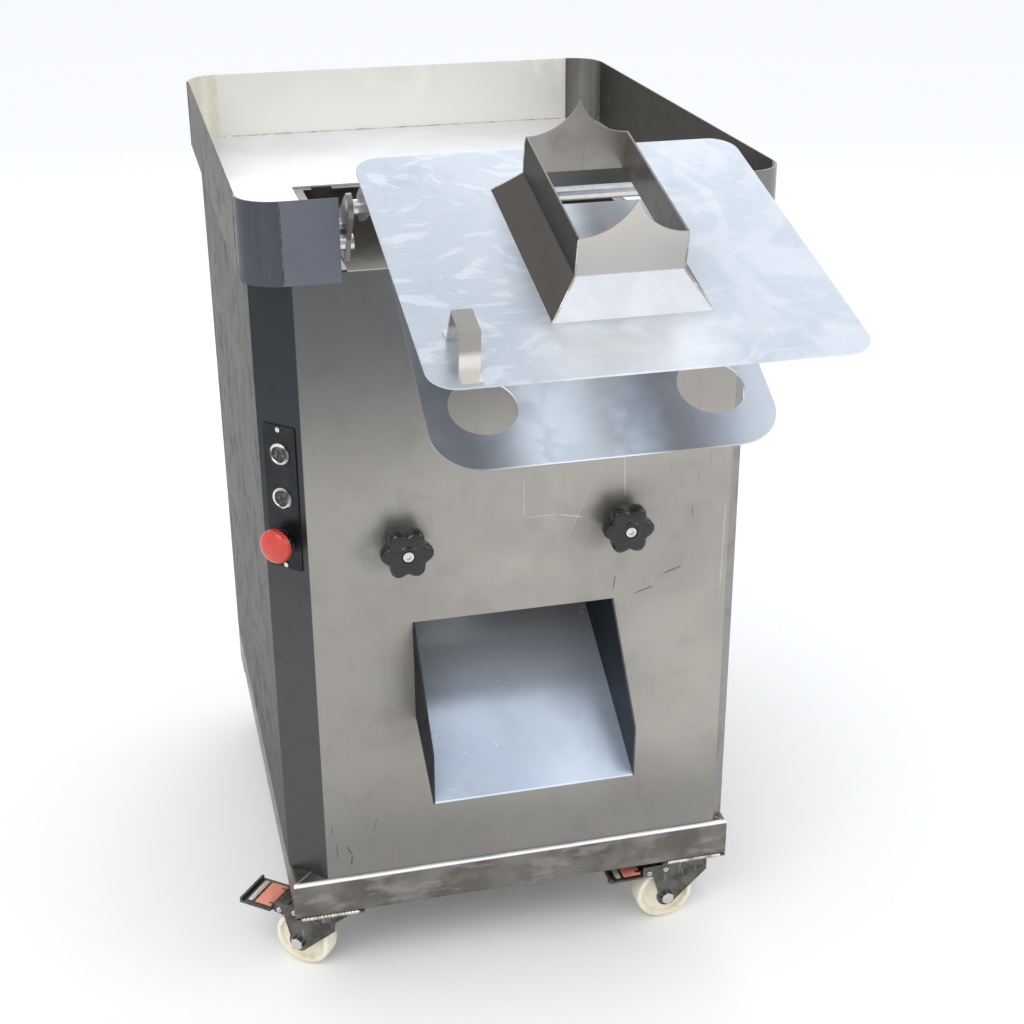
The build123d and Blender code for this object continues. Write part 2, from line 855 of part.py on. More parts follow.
def drive_stand():
    """A plate from the floor pan that steadies the long shaft in front of the pulley."""
    x0 = -roll_offset - big_pulley_radius
    x1 = -roll_offset + big_pulley_radius
    low = frame_top + sheet
    back = stand_y + stand_thick
    boss_front = stand_y - stand_boss_length
    plate = block(x0, x1, stand_y, back, low, axis_z + stand_above_axis)
    foot = block(x0, x1, stand_y - stand_foot, stand_y, low, low + stand_thick)
    boss = rod_y(-roll_offset, axis_z, bush_radius + stand_boss_wall, boss_front, stand_y)
    bore = rod_y(-roll_offset, axis_z, roll_shaft_radius + running_gap, boss_front, back)
    return plate + foot + boss - bore


flange_thick = 3.5
flange_rise = 2.0
belt_edge_gap = 4.0


def pulley(z, radius, bore):
    """A flat-bottomed pulley with a flange on each side."""
    back = pulley_y + pulley_width
    rim = rod_y(-roll_offset, z, radius, pulley_y, back)
    for y in (pulley_y, back - flange_thick):
        rim += rod_y(-roll_offset, z, radius + belt_thick + flange_rise, y, y + flange_thick)
    return rim - rod_y(-roll_offset, z, bore, pulley_y, back)


save("drive_pulley", pulley(axis_z, big_pulley_radius, roll_shaft_radius))
motor_shaft = rod_y(
    -roll_offset, motor_z, motor_shaft_radius, pulley_y - shaft_end_gap, motor_front + shaft_in_motor
)
save("motor_pulley", pulley(motor_z, small_pulley_radius, motor_shaft_radius), motor_shaft)


def belt_face(offset):
    """The outline of an open belt: two circles and the tangents between them."""
    big = big_pulley_radius + offset
    small = small_pulley_radius + offset
    span = axis_z - motor_z
    lean = asin((big - small) / span)
    high = (big * cos(lean), big * sin(lean))
    low = (small * cos(lean), small * sin(lean) - span)
    web = Polyline((-high[0], high[1]), high, low, (-low[0], low[1]), close=True)
    return Circle(big) + Pos(0, -span) * Circle(small) + make_face(web)


def drive_belt():
    ring = belt_face(belt_gap + belt_thick) - belt_face(belt_gap)
    belt_front = pulley_y + belt_edge_gap
    place = Plane(origin=(-roll_offset, belt_front, axis_z), x_dir=(-1, 0, 0), z_dir=(0, 1, 0))
    return place * extrude(ring, amount=pulley_width - 2 * belt_edge_gap)


save("drive_belt", drive_belt())


fin_count = 24
fin_half = 1.5
fin_rise = 5.0
fin_root = 40.0
fin_start = 20.0
fin_end_gap = 10.0
motor_cap_length = 40.0
motor_cap_rise = 3.0
terminal_half = 40.0
terminal_start = 40.0
terminal_length = 80.0
terminal_rise = 30.0


def motor():
    """A round finned motor with an end cap and a terminal box."""
    y1 = motor_front + motor_length
    y0 = y1 - motor_cap_length
    bore_end = motor_front + shaft_in_motor + shaft_end_gap
    box_front = motor_front + terminal_start
    body = rod_y(-roll_offset, motor_z, motor_radius, motor_front, y0)
    fin_tip = motor_radius + fin_rise
    fin = block(-fin_half, fin_half, motor_front + fin_start, y0 - fin_end_gap, fin_root, fin_tip)
    for i in range(fin_count):
        body += Pos(-roll_offset, 0, motor_z) * Rot(0, i * 360 / fin_count, 0) * fin
    body += rod_y(-roll_offset, motor_z, motor_radius + motor_cap_rise, y0, y1)
    body += block(
        -roll_offset - terminal_half,
        -roll_offset + terminal_half,
        box_front,
        box_front + terminal_length,
        motor_z,
        motor_z + motor_radius + terminal_rise,
    )
    return body - rod_y(-roll_offset, motor_z, motor_shaft_radius + running_gap, motor_front, bore_end)


save("motor", motor())


mount_half = 60.0
mount_front_gap = 30.0
mount_rear_gap = 20.0
mount_sheet = 6.0
mount_foot = 20.0


def motor_mount():
    """A folded cradle between the floor pan and the motor's lowest fins."""
    t = mount_sheet
    x0 = -roll_offset - mount_half
    x1 = -roll_offset + mount_half
    y0 = motor_front + mount_front_gap
    y1 = motor_front + motor_length - motor_cap_length - mount_rear_gap
    top = motor_z - motor_radius - fin_rise
    low = frame_top + sheet
    deck = block(x0, x1, y0, y1, top - t, top)
    legs = block(x0, x0 + t, y0, y1, low, top) + block(x1 - t, x1, y0, y1, low, top)
    feet = block(x0 - mount_foot, x0, y0, y1, low, low + t) + block(x1, x1 + mount_foot, y0, y1, low, low + t)
    return deck + legs + feet


save("drive_supports", drive_stand(), motor_mount())

# Electrical box on the left side panel, behind the controls
ebox_depth = 60.0
ebox_setback = 110.0
ebox_rise = 480.0
ebox_front = front + ebox_setback
ebox_length = 140.0
ebox_low = caster_height + ebox_rise
ebox_height = 210.0
ebox_side = -half + sheet
ebox = block(
    ebox_side, ebox_side + ebox_depth, ebox_front, ebox_front + ebox_length, ebox_low, ebox_low + ebox_height
)
save("electrical_box", ebox)

# Outlet chute: a ramp bent up into a back wall, between two cheeks that stand out of the panel
rise = tan(radians(chute_slope))
ramp_t = sheet / cos(radians(chute_slope))
lip_y = panel_face - chute_reach
lip_z = caster_height + chute_sill - chute_reach * rise
back_y = plate_rear
bend_z = caster_height + chute_sill + (back_y - panel_face) * rise
inside_half = chute_width / 2 - sheet
back_gap = 2.0
back_top = rear_plate_low - back_gap
cheek_front_gap = 4.0
cheek_step_gap = 5.0
cheek_step_z = front_plate_low - cheek_step_gap
cheek_lip = 2.0


def chute_ramp():
    outline = [
        (lip_y, lip_z - ramp_t),
        (lip_y, lip_z),
        (back_y - sheet, bend_z - sheet * rise),
        (back_y - sheet, back_top),
        (back_y, back_top),
        (back_y, bend_z - ramp_t),
    ]
    return side_profile(outline, -inside_half, inside_half)


def chute_cheek():
    """A side plate, tall inside the machine and cut back to a slope outside it."""
    outline = [
        (lip_y, lip_z - ramp_t),
        (back_y, bend_z - ramp_t),
        (back_y, back_top),
        (plate_front_back + cheek_front_gap, back_top),
        (plate_front_back + cheek_front_gap, cheek_step_z),
        (panel_back, caster_height + chute_top),
        (panel_face, caster_height + chute_top),
        (lip_y - cheek_lip, lip_z + chute_cheek_height),
    ]
    return side_profile(outline, -chute_width / 2, -inside_half)


save("chute_ramp", chute_ramp())
save("chute_cheeks", chute_cheek(), mirrored(chute_cheek()))

# Knobs: six-lobed star knobs on studs that hold the cutter cartridge from in front
knob_front = panel_face - knob_face
lobe_count = 6
scallop_radius = 11.0
scallop_out = 5.0
lobe_round = 4.0
knob_hub_radius = 14.0
socket_depth = 6.0
socket_radius = 8.0
screw_gap = 0.2
screw_rise = 1.5
boss_length = 12.5
boss_gap = 0.5
stud_gap = 1.0


def star_face():
    star = Circle(knob_radius)
    spots = PolarLocations(knob_radius + scallop_out, lobe_count, start_angle=180 / lobe_count)
    star -= [place * Circle(scallop_radius) for place in spots]
    return fillet(star.vertices(), lobe_round)


def knob(x):
    place = Plane(origin=(x, knob_front, knob_z), x_dir=(1, 0, 0), z_dir=(0, 1, 0))
    bore = Pos(0, 0, socket_depth) * extrude(Circle(stud_radius + running_gap), amount=knob_face)
    hexagon = RegularPolygon(socket_radius, 6)
    socket = extrude(hexagon, amount=socket_depth)
    star = extrude(star_face(), amount=knob_thick)
    hub_length = knob_face - knob_thick - boss_length - boss_gap
    hub = Pos(0, 0, knob_thick) * extrude(Circle(knob_hub_radius), amount=hub_length)
    screw = Pos(0, 0, -screw_rise) * extrude(hexagon, amount=screw_rise + socket_depth - screw_gap)
    return place * (star + hub - bore - socket), place * screw


def knob_boss(x):
    """A turned boss on the panel, with the stud that runs back to the cutter's front plate."""
    ring = rod_y(x, knob_z, boss_radius, panel_face - boss_length, panel_face)
    stud = rod_y(x, knob_z, stud_radius, knob_front + socket_depth + stud_gap, plate_front)
    return ring + stud


save("knob_left", *knob(-knob_spacing / 2))
save("knob_right", *knob(knob_spacing / 2))
save("knob_studs", knob_boss(-knob_spacing / 2), knob_boss(knob_spacing / 2))

# Controls: a plate on the left chamfer with two push-buttons and a mushroom stop button
plate_rise = 1.5
plate_round = 2.0
plate_screw_radius = 2.8
plate_screw_rise = 1.6
plate_screw_inset = 4.5
bezel_height = 3.0
cap_gap = 0.3
cap_depth = 2.0
cap_travel_gap = 2.0
dish_radius = 25.0
dish_depth = 1.0
barrel_length = 40.0
barrel_gap = 0.2
switch_length = 15.0
switch_width = 24.0
switch_height = 30.0
collar_radius = 15.0
collar_height = 10.0
stem_radius = 8.0
stem_depth = 4.0
stem_pocket = 9.0
head_gap = 4.0
head_thick = 13.0
dome_radius = 38.0


def disc_at(height, radius, z0, z1):
    """A round piece on the chamfer, from z0 to z1 out of the plate's face."""
    return on_chamfer(height) * Pos(0, 0, z0 + plate_rise) * extrude(Circle(radius), amount=z1 - z0)


def control_plate():
    face = RectangleRounded(plate_width, plate_height, plate_round)
    face -= [Pos(0, h - plate_centre) * Circle(button_hole_radius) for h in (*button_heights, estop_height)]
    return on_chamfer(plate_centre) * extrude(face, amount=plate_rise)


save("control_plate", control_plate())
screw_offset = plate_height / 2 - plate_screw_inset
screw_heights = (plate_centre + screw_offset, plate_centre - screw_offset)
rear_screw_inset = 16.0
rear_screw_margin = 30.0
rear_screw_top_gap = 50.0
rear_screw_x = half - rear_screw_inset
rear_screw_radius = 4.5
rear_screw_rise = 2.5
rear_screw_low = frame_top + rear_screw_margin
rear_screw_high = floor_top - rear_screw_top_gap
rear_screw_rows = 4


def rear_screw(side, row):
    """One domed-over screw at the rear panel's edge."""
    z = rear_screw_low + row * (rear_screw_high - rear_screw_low) / (rear_screw_rows - 1)
    return rod_y(side * rear_screw_x, z, rear_screw_radius, rear, rear + rear_screw_rise)


rear_screws = [rear_screw(side, row) for side in (-1, 1) for row in range(rear_screw_rows)]
plate_screws = [disc_at(h, plate_screw_radius, 0, plate_screw_rise) for h in screw_heights]
save("fixings", *plate_screws, *rear_screws, *bracket_bolts())


def ring_at(height, outer, inner, z1):
    """A ring that stands on the control plate."""
    return disc_at(height, outer, 0, z1) - disc_at(height, inner, 0, z1)


bezels = [ring_at(h, bezel_radius, cap_radius + cap_gap, bezel_height) for h in button_heights]
save("button_bezels", *bezels)


def button_cap(height):
    """A round cap with a dished face."""
    top = plate_rise + bezel_height
    dish = on_chamfer(height) * Pos(0, 0, top - dish_depth + dish_radius) * Sphere(dish_radius)
    return disc_at(height, cap_radius, -cap_depth, bezel_height) - dish


save("upper_button_cap", button_cap(button_heights[0]))
save("lower_button_cap", button_cap(button_heights[1]))


def switch_body(height, pocket_radius, pocket_depth):
    """A threaded barrel through the plate, with the contact block behind it."""
    barrel = disc_at(height, button_hole_radius - barrel_gap, -barrel_length, 0)
    contacts = extrude(Rectangle(switch_width, switch_height), amount=switch_length)
    contacts = on_chamfer(height) * Pos(0, 0, plate_rise - barrel_length - switch_length) * contacts
    return barrel + contacts - disc_at(height, pocket_radius, -pocket_depth, 0)


button_bodies = [switch_body(h, cap_radius + cap_gap, cap_depth + cap_travel_gap) for h in button_heights]
save("switch_bodies", *button_bodies, switch_body(estop_height, stem_radius + cap_gap, stem_pocket))
save("estop_collar", ring_at(estop_height, collar_radius, stem_radius + cap_gap, collar_height))


def estop_head():
    """A mushroom head: a domed disc on a stem, turned about the button's axis."""
    low = collar_height + head_gap
    stem = Pos(0, 0, -stem_depth) * extrude(Circle(stem_radius), amount=low + stem_depth)
    cap = Pos(0, 0, low) * extrude(Circle(estop_radius), amount=head_thick)
    dome = Pos(0, 0, low + head_thick - dome_radius) * Sphere(dome_radius)
    return on_chamfer(estop_height) * Pos(0, 0, plate_rise) * (stem + (cap & dome))


save("estop_head", estop_head())

# Casters: a welded top plate with a pivot pin, a fork, a nylon wheel and, in front, a brake pedal
wheel_radius = 37.5
wheel_width = 26.0
wheel_round = 4.0
wheel_rim = 8.0
web_recess = 6.0
hub_out = 12.0
hub_gap = 0.5
trail = 33.0
top_plate = 3.0
pivot_radius = 8.0
pivot_head_radius = 12.0
pivot_head_thick = 5.0
pivot_reach = 6.0
fork_gap = 17.0
leg_thick = 3.0
fork_head_radius = 27.0
fork_head_thick = 4.0
fork_head_gap = 0.5
fork_web = 44.0
head_low = 84.0
leg_rear = -20.0
leg_front = 52.0
leg_knee = 72.0
leg_rear_drop = 14.0
ear_tip = 66.0
ear_low = 74.0
axle_lead = 11.0
axle_lift = 5.0
axle_lag = 8.0
axle_drop = 10.0
axle_radius = 5.0
axle_boss_radius = 13.0
nut_radius = 9.0
nut_thick = 7.0
bolt_head = 5.0
bolt_end = 1.0
pedal_x = 58.0
pedal_z = 79.0
pedal_pin_radius = 3.0
pedal_pin_end = 1.5
pedal_arm = 3.0
pedal_gap = 0.5
pedal_reach = 54.0
pedal_tail = 6.0
pedal_drop = 2.0
pedal_skirt = 5.0
pedal_rib = 2.0
pad_reach = 8.0
bridge_lap = 4.0
tread_half = 26.0
tread_start = 10.0
tread_thick = 3.0
lip_rise = 4.0
shoe_half = 10.0
shoe_width = 6.0
shoe_drop = 11.0
caster_places = {
    "front_left": (-1, front + caster_inset_y, 141.0),
    "front_right": (1, front + caster_inset_y, 182.0),
    "rear_left": (-1, rear - caster_inset_y, 20.0),
    "rear_right": (1, rear - caster_inset_y, 160.0),
}


def caster_frame(name):
    """The caster's own frame: its pivot over the ground, x along its trail."""
    side, y, turn = caster_places[name]
    return Pos(side * (half - caster_inset_x), y, 0) * Rot(0, 0, turn)


def caster_plate(name):
    """A plate flush with the frame's corner, and the pivot pin with its riveted head."""
    side, y, _ = caster_places[name]
    x = side * (half - caster_inset_x)
    w = caster_inset_x
    d = caster_inset_y
    under = caster_height - top_plate
    low = head_low - pivot_reach
    plate = block(x - w, x + w, y - d, y + d, under, caster_height)
    pin = rod_z(x, y, pivot_radius, low, under)
    return plate + pin + rod_z(x, y, pivot_head_radius, low, low + pivot_head_thick)


def across(outline, y0, y1):
    """A plate of the caster across its axle, from an outline of (x, z) points."""
    place = Plane(origin=(0, y1, 0), x_dir=(1, 0, 0), z_dir=(0, -1, 0))
    return place * extrude(make_face(Polyline(*outline, close=True)), amount=y1 - y0)


def fork_leg():
    """One leg, with an ear for the pedal's pin and a boss for the axle."""
    inner = -fork_gap
    outer = inner - leg_thick
    top = head_low + fork_head_thick
    outline = [
        (leg_rear, top),
        (ear_tip, top),
        (ear_tip, ear_low),
        (leg_front, leg_knee),
        (trail + axle_lead, wheel_radius + axle_lift),
        (trail - axle_lag, wheel_radius - axle_drop),
        (leg_rear, head_low - leg_rear_drop),
    ]
    leg = across(outline, outer, inner) + rod_y(trail, wheel_radius, axle_boss_radius, outer, inner)
    leg -= rod_y(trail, wheel_radius, axle_radius, outer, inner)
    return leg - rod_y(pedal_x, pedal_z, pedal_pin_radius, outer, inner)


def hexagon_at(y, direction, thick):
    """A hexagon on the axle, from y outwards."""
    place = Plane(origin=(trail, y, wheel_radius), x_dir=(1, 0, 0), z_dir=(0, direction, 0))
    return place * extrude(RegularPolygon(nut_radius, 6), amount=thick)


def fork():
    """Two legs under a round head, with the axle bolt and its nut."""
    under = caster_height - top_plate - fork_head_gap
    outer = fork_gap + leg_thick
    nut_end = -outer - nut_thick
    leg = fork_leg()
    head = rod_z(0, 0, fork_head_radius, head_low, under)
    head += block(0, fork_web, -outer, outer, head_low, head_low + fork_head_thick)
    head -= rod_z(0, 0, pivot_radius + running_gap, head_low, under)
    bolt = rod_y(trail, wheel_radius, axle_radius, nut_end - bolt_end, outer)
    bolt += hexagon_at(outer, 1, bolt_head)
    nut = hexagon_at(-outer, -1, nut_thick) - rod_y(trail, wheel_radius, axle_radius, nut_end, -outer)
    return [head + leg + mirror(leg, about=Plane.XZ), bolt, nut]


def wheel():
    """A nylon wheel with rounded shoulders and a recessed web around a long hub."""
    w = wheel_width / 2
    hub_end = fork_gap - hub_gap
    tread = rod_y(trail, wheel_radius, wheel_radius, -w, w)
    tread = fillet(tread.edges().filter_by(GeomType.CIRCLE), wheel_round)
    dish = rod_y(trail, wheel_radius, wheel_radius - wheel_rim, w - web_recess, w)
    dish -= rod_y(trail, wheel_radius, hub_out, w - web_recess, w)
    tread = tread - dish - mirror(dish, about=Plane.XZ)
    tread += rod_y(trail, wheel_radius, hub_out, -hub_end, hub_end)
    return tread - rod_y(trail, wheel_radius, axle_radius + running_gap, -hub_end, hub_end)


def pedal():
    """A foot pedal: two side arms on pins, a shoe over the wheel and a tread past the ears."""
    inner = fork_gap - pedal_gap
    tip = pedal_x + pedal_reach
    tail = pedal_x - pedal_tail
    under = pedal_z - pedal_drop
    top = under + tread_thick
    rib = top + pedal_rib
    tread_x = pedal_x + tread_start
    skirt = under - pedal_skirt
    outline = [(tail, rib), (tread_x, rib), (tip, under), (tip, skirt), (tail, skirt)]
    pin_end = -fork_gap - leg_thick - pedal_pin_end
    arm = across(outline, -inner, -inner + pedal_arm)
    arm += rod_y(pedal_x, pedal_z, pedal_pin_radius - running_gap, pin_end, -inner)
    between = inner - pedal_arm
    pad = block(tail, pedal_x + pad_reach, -between, between, under, rib)
    shoe = block(pedal_x, pedal_x + shoe_width, -shoe_half, shoe_half, pedal_z - shoe_drop, top)
    bridge = block(pedal_x, tread_x + bridge_lap, -inner, inner, under, top)
    tread = block(tread_x, tip, -tread_half, tread_half, under, top)
    lip = block(tip - tread_thick, tip, -tread_half, tread_half, top, top + lip_rise)
    return arm + mirror(arm, about=Plane.XZ) + pad + shoe + bridge + tread + lip


plates = [caster_plate(name) for name in caster_places]
save("caster_plates", *plates)
for caster in caster_places:
    here = caster_frame(caster)
    save(f"caster_fork_{caster}", *[here * solid for solid in fork()])
    save(f"caster_wheel_{caster}", here * wheel())
for caster in ("front_left", "front_right"):
    save(f"brake_pedal_{caster}", caster_frame(caster) * pedal())
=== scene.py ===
from math import cos, hypot, pi, radians, sin

import bmesh
import bpy
import numpy as np
from mathutils import Matrix, Vector


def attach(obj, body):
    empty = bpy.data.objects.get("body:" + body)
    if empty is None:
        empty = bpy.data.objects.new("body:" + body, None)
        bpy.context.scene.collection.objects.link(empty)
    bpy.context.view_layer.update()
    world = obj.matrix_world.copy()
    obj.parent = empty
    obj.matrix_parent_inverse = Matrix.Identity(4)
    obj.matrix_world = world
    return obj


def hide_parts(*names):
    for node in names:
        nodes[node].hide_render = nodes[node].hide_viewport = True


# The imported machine, in metres: a stainless cabinet on casters with a tray, two lids that hinge
# on one bar, and a pair of toothed rolls inside.
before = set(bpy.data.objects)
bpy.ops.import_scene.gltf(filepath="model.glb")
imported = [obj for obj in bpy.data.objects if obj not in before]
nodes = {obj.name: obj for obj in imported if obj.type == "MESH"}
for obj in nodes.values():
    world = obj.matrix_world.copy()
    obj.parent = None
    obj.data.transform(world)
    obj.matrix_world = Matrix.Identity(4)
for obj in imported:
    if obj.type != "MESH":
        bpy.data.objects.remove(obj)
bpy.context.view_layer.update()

# The room: a pale floor without edges, a soft sky and three large soft lamps. The camera stands
# in front of the machine, a little to its left, and looks down on it, as in the photograph.


def linear(red, green, blue):
    """A colour as it looks on a screen, from 0 to 255, turned into the light that a shader works with."""
    share = np.array([red, green, blue]) / 255.0
    light = np.where(share <= 0.04045, share / 12.92, ((share + 0.055) / 1.055) ** 2.4)
    return (*[float(v) for v in light], 1.0)


class Wire:
    """One output of a material's nodes. Sums and products of wires add Math nodes."""

    def __init__(self, finish, socket):
        self.finish = finish
        self.socket = socket

    def math(self, operation, first, second):
        return self.finish.node("ShaderNodeMath", {"operation": operation}, {0: first, 1: second})

    def __add__(self, other):
        return self.math("ADD", self, other)

    def __sub__(self, other):
        return self.math("SUBTRACT", self, other)

    def __mul__(self, other):
        return self.math("MULTIPLY", self, other)

    def __rsub__(self, other):
        return self.math("SUBTRACT", other, self)

    def rise(self, low, high):
        """0 below low, 1 above high, and a smooth step between. With low above high it falls."""
        settings = {"interpolation_type": "SMOOTHSTEP"}
        ends = {"Value": self, "From Min": low, "From Max": high}
        return self.finish.node("ShaderNodeMapRange", settings, ends)

    __radd__ = __add__
    __rmul__ = __mul__


class Finish:
    """A material that is written as expressions on wires."""

    def __init__(self, name, metal=0.0, rough=0.5, **fixed):
        self.material = bpy.data.materials.new(name)
        self.material.use_nodes = True
        self.tree = self.material.node_tree
        self.shader = self.tree.nodes["Principled BSDF"]
        self.shader.inputs["Metallic"].default_value = metal
        self.shader.inputs["Roughness"].default_value = rough
        for socket, value in fixed.items():
            self.shader.inputs[socket.replace("_", " ")].default_value = value
        self.place = self.node("ShaderNodeTexCoord", output="Object")

    def node(self, kind, settings=None, sockets=None, output=0):
        """Adds a node: its settings first, with a ramp's stops, then the values or links of its sockets."""
        made = self.tree.nodes.new(kind)
        for key, value in (settings or {}).items():
            setattr(made, key, value)
        for key, value in (sockets or {}).items():
            if isinstance(value, Wire):
                self.tree.links.new(value.socket, made.inputs[key])
            else:
                made.inputs[key].default_value = value
        return Wire(self, made.outputs[output])

    def axis(self, letter):
        """One coordinate of each point of the surface, in metres."""
        return self.node("ShaderNodeSeparateXYZ", None, {0: self.place}, output=letter)

    def mix(self, share, first, second):
        """One colour where share is 0, the other where it is 1."""
        sockets = {0: share, 6: first, 7: second}
        return self.node("ShaderNodeMix", {"data_type": "RGBA"}, sockets, output=2)

    def cloud(self, size, stretch=(1, 1, 1), detail=4.0, turn=(0, 0, 0), seed=(0, 0, 0), ripple=0.0):
        """Soft noise from 0 to 1 with features of about size metres, drawn out by stretch."""
        scale = [1.0 / (size * s) for s in stretch]
        moved = {"Vector": self.place, "Scale": scale, "Rotation": turn, "Location": seed}
        at = self.node("ShaderNodeMapping", None, moved)
        sockets = {"Vector": at, "Scale": 1.0, "Detail": detail, "Distortion": ripple}
        return self.node("ShaderNodeTexNoise", None, sockets)

    def set(self, colour=None, rough=None, height=None, depth=0.0002, strength=0.5):
        """Joins the colour, the roughness and a height in metres to the shader."""
        if colour is not None:
            self.join(colour, "Base Color")
        if rough is not None:
            self.join(rough, "Roughness")
        if height is not None:
            sockets = {"Strength": strength, "Distance": depth, "Height": height}
            self.join(self.node("ShaderNodeBump", None, sockets), "Normal")
        return self

    def join(self, value, socket):
        """Puts a wire or a plain value on one of the shader's sockets."""
        if isinstance(value, Wire):
            self.tree.links.new(value.socket, self.shader.inputs[socket])
        else:
            self.shader.inputs[socket].default_value = value


def wear(names, finish):
    """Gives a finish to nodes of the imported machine."""
    for name in names:
        for place in nodes[name].material_slots:
            place.link = "OBJECT"
            place.material = finish.material


def ground():
    """A wide square on the floor plane."""
    mesh = bpy.data.meshes.new("floor")
    reach = 60.0
    corners = [(-reach, -reach, 0), (reach, -reach, 0), (reach, reach, 0), (-reach, reach, 0)]
    mesh.from_pydata(corners, [], [(0, 1, 2, 3)])
    floor = bpy.data.objects.new("floor", mesh)
    bpy.context.collection.objects.link(floor)
    mesh.materials.append(Finish("pale_floor", rough=0.9).set(colour=(0.93, 0.93, 0.93, 1.0)).material)


def soft_lamp(name, place, aim, size, power, colour):
    """A square lamp that looks from its place towards a point."""
    lamp = bpy.data.lights.new(name, "AREA")
    lamp.size = size
    lamp.energy = power
    lamp.color = colour
    stand = bpy.data.objects.new(name, lamp)
    stand.location = place
    stand.rotation_euler = (Vector(aim) - Vector(place)).to_track_quat("-Z", "Y").to_euler()
    bpy.context.collection.objects.link(stand)


def sky():
    """A plain white sky, a little cooler above than at the horizon."""
    world = bpy.data.worlds.new("soft_sky")
    world.use_nodes = True
    tree = world.node_tree
    up = tree.nodes.new("ShaderNodeTexCoord")
    split = tree.nodes.new("ShaderNodeSeparateXYZ")
    ramp = tree.nodes.new("ShaderNodeValToRGB")
    ramp.color_ramp.elements[0].position = 0.0
    ramp.color_ramp.elements[0].color = (0.96, 0.95, 0.94, 1.0)
    ramp.color_ramp.elements[1].position = 0.75
    ramp.color_ramp.elements[1].color = (0.94, 0.97, 1.0, 1.0)
    tree.links.new(up.outputs["Generated"], split.inputs[0])
    tree.links.new(split.outputs["Z"], ramp.inputs[0])
    tree.links.new(ramp.outputs[0], tree.nodes["Background"].inputs["Color"])
    tree.nodes["Background"].inputs["Strength"].default_value = 1.05
    bpy.context.scene.world = world


def stand_camera():
    """A camera from its place, its heading, its tilt down and its slight roll, in radians."""
    eye = (-0.4127, -2.0032, 1.3895)
    heading, tilt, roll = 0.2412, 0.4279, -0.0053
    ahead = Vector((sin(heading) * cos(tilt), cos(heading) * cos(tilt), -sin(tilt)))
    level = Vector((cos(heading), -sin(heading), 0.0))
    above = level.cross(ahead)
    right = cos(roll) * level + sin(roll) * above
    up = cos(roll) * above - sin(roll) * level
    lens = bpy.data.cameras.new("camera")
    lens.sensor_width = 36.0
    lens.lens = 59.17
    lens.clip_end = 200.0
    camera = bpy.data.objects.new("camera", lens)
    turn = Matrix((right, up, -ahead)).transposed().to_4x4()
    camera.matrix_world = Matrix.Translation(eye) @ turn
    bpy.context.collection.objects.link(camera)
    bpy.context.scene.camera = camera


ground()
sky()
body_middle = (0.0, 0.0, 0.6)
soft_lamp("high_lamp", (-1.6, -2.2, 3.4), body_middle, 2.2, 42.0, (1.0, 0.98, 0.95))
soft_lamp("side_lamp", (2.8, -1.4, 2.2), body_middle, 2.0, 16.0, (0.95, 0.97, 1.0))
soft_lamp("back_lamp", (0.6, 3.0, 2.6), (0.0, 0.0, 0.9), 2.0, 18.0, (1.0, 1.0, 1.0))
stand_camera()
bpy.context.scene.view_settings.view_transform = "Standard"

# Base frame: four lengths of square tube with a mill finish, mitred and welded at the corners.
# The weld on each mitre is ground on the faces and stands as a thin bead on top.
frame_half, frame_end = 0.275, 0.340
tube = 0.050
tube_corner = 0.004
tube_low, tube_high = 0.096, 0.146


def shape(name, points, faces, body, finish, angle=35.0):
    """A closed piece from points and faces: doubles are merged and its faces turned outwards."""
    mesh = bpy.data.meshes.new(name)
    mesh.from_pydata([tuple(p) for p in points], [], [tuple(f) for f in faces])
    work = bmesh.new()
    work.from_mesh(mesh)
    bmesh.ops.remove_doubles(work, verts=work.verts, dist=2e-6)
    bmesh.ops.dissolve_degenerate(work, dist=1e-6, edges=work.edges)
    bmesh.ops.recalc_face_normals(work, faces=work.faces)
    work.to_mesh(mesh)
    work.free()
    mesh.shade_smooth()
    mesh.set_sharp_from_angle(angle=radians(angle))
    piece = bpy.data.objects.new(name, mesh)
    bpy.context.collection.objects.link(piece)
    mesh.materials.append(finish.material)
    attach(piece, body)
    return piece


def weave(rows, columns, round_rows=False, round_columns=True):
    """The quads of a grid of points, which may close on itself either way."""
    i = np.arange(rows if round_rows else rows - 1)[:, None]
    j = np.arange(columns if round_columns else columns - 1)[None, :]
    below, beside = (i + 1) % rows, (j + 1) % columns
    corners = (i * columns + j, i * columns + beside, below * columns + beside, below * columns + j)
    return np.stack(np.broadcast_arrays(*corners), axis=-1).reshape(-1, 4)


def bead(name, start, end, radius, pitch, body, finish, across=(0.0, 0.0, 1.0)):
    """A weld bead along a line: a round run whose radius swells once every pitch, closed at its ends."""
    start, end = np.array(start, float), np.array(end, float)
    length = np.linalg.norm(end - start)
    run = (end - start) / length
    side = np.cross(run, across)
    side /= np.linalg.norm(side)
    lift = np.cross(side, run)
    t = np.linspace(0.0, 1.0, max(8, int(length / pitch * 5)))
    swell = radius * (1.0 + 0.16 * np.sin(2 * pi * length * t / pitch))
    swell *= np.clip(np.minimum(t, 1 - t) * length / radius, 0.0, 1.0) ** 0.5
    turn = np.linspace(0, 2 * pi, 10, endpoint=False)
    ring = np.cos(turn)[:, None] * side + np.sin(turn)[:, None] * lift
    points = start + t[:, None, None] * (end - start) + swell[:, None, None] * ring[None]
    return shape(name, points.reshape(-1, 3), weave(len(t), len(turn)), body, finish, 60.0)


def placed(points, place):
    """Points in a piece's own axes, moved to the piece's place."""
    matrix = np.array(place)
    return np.asarray(points) @ matrix[:3, :3].T + matrix[:3, 3]


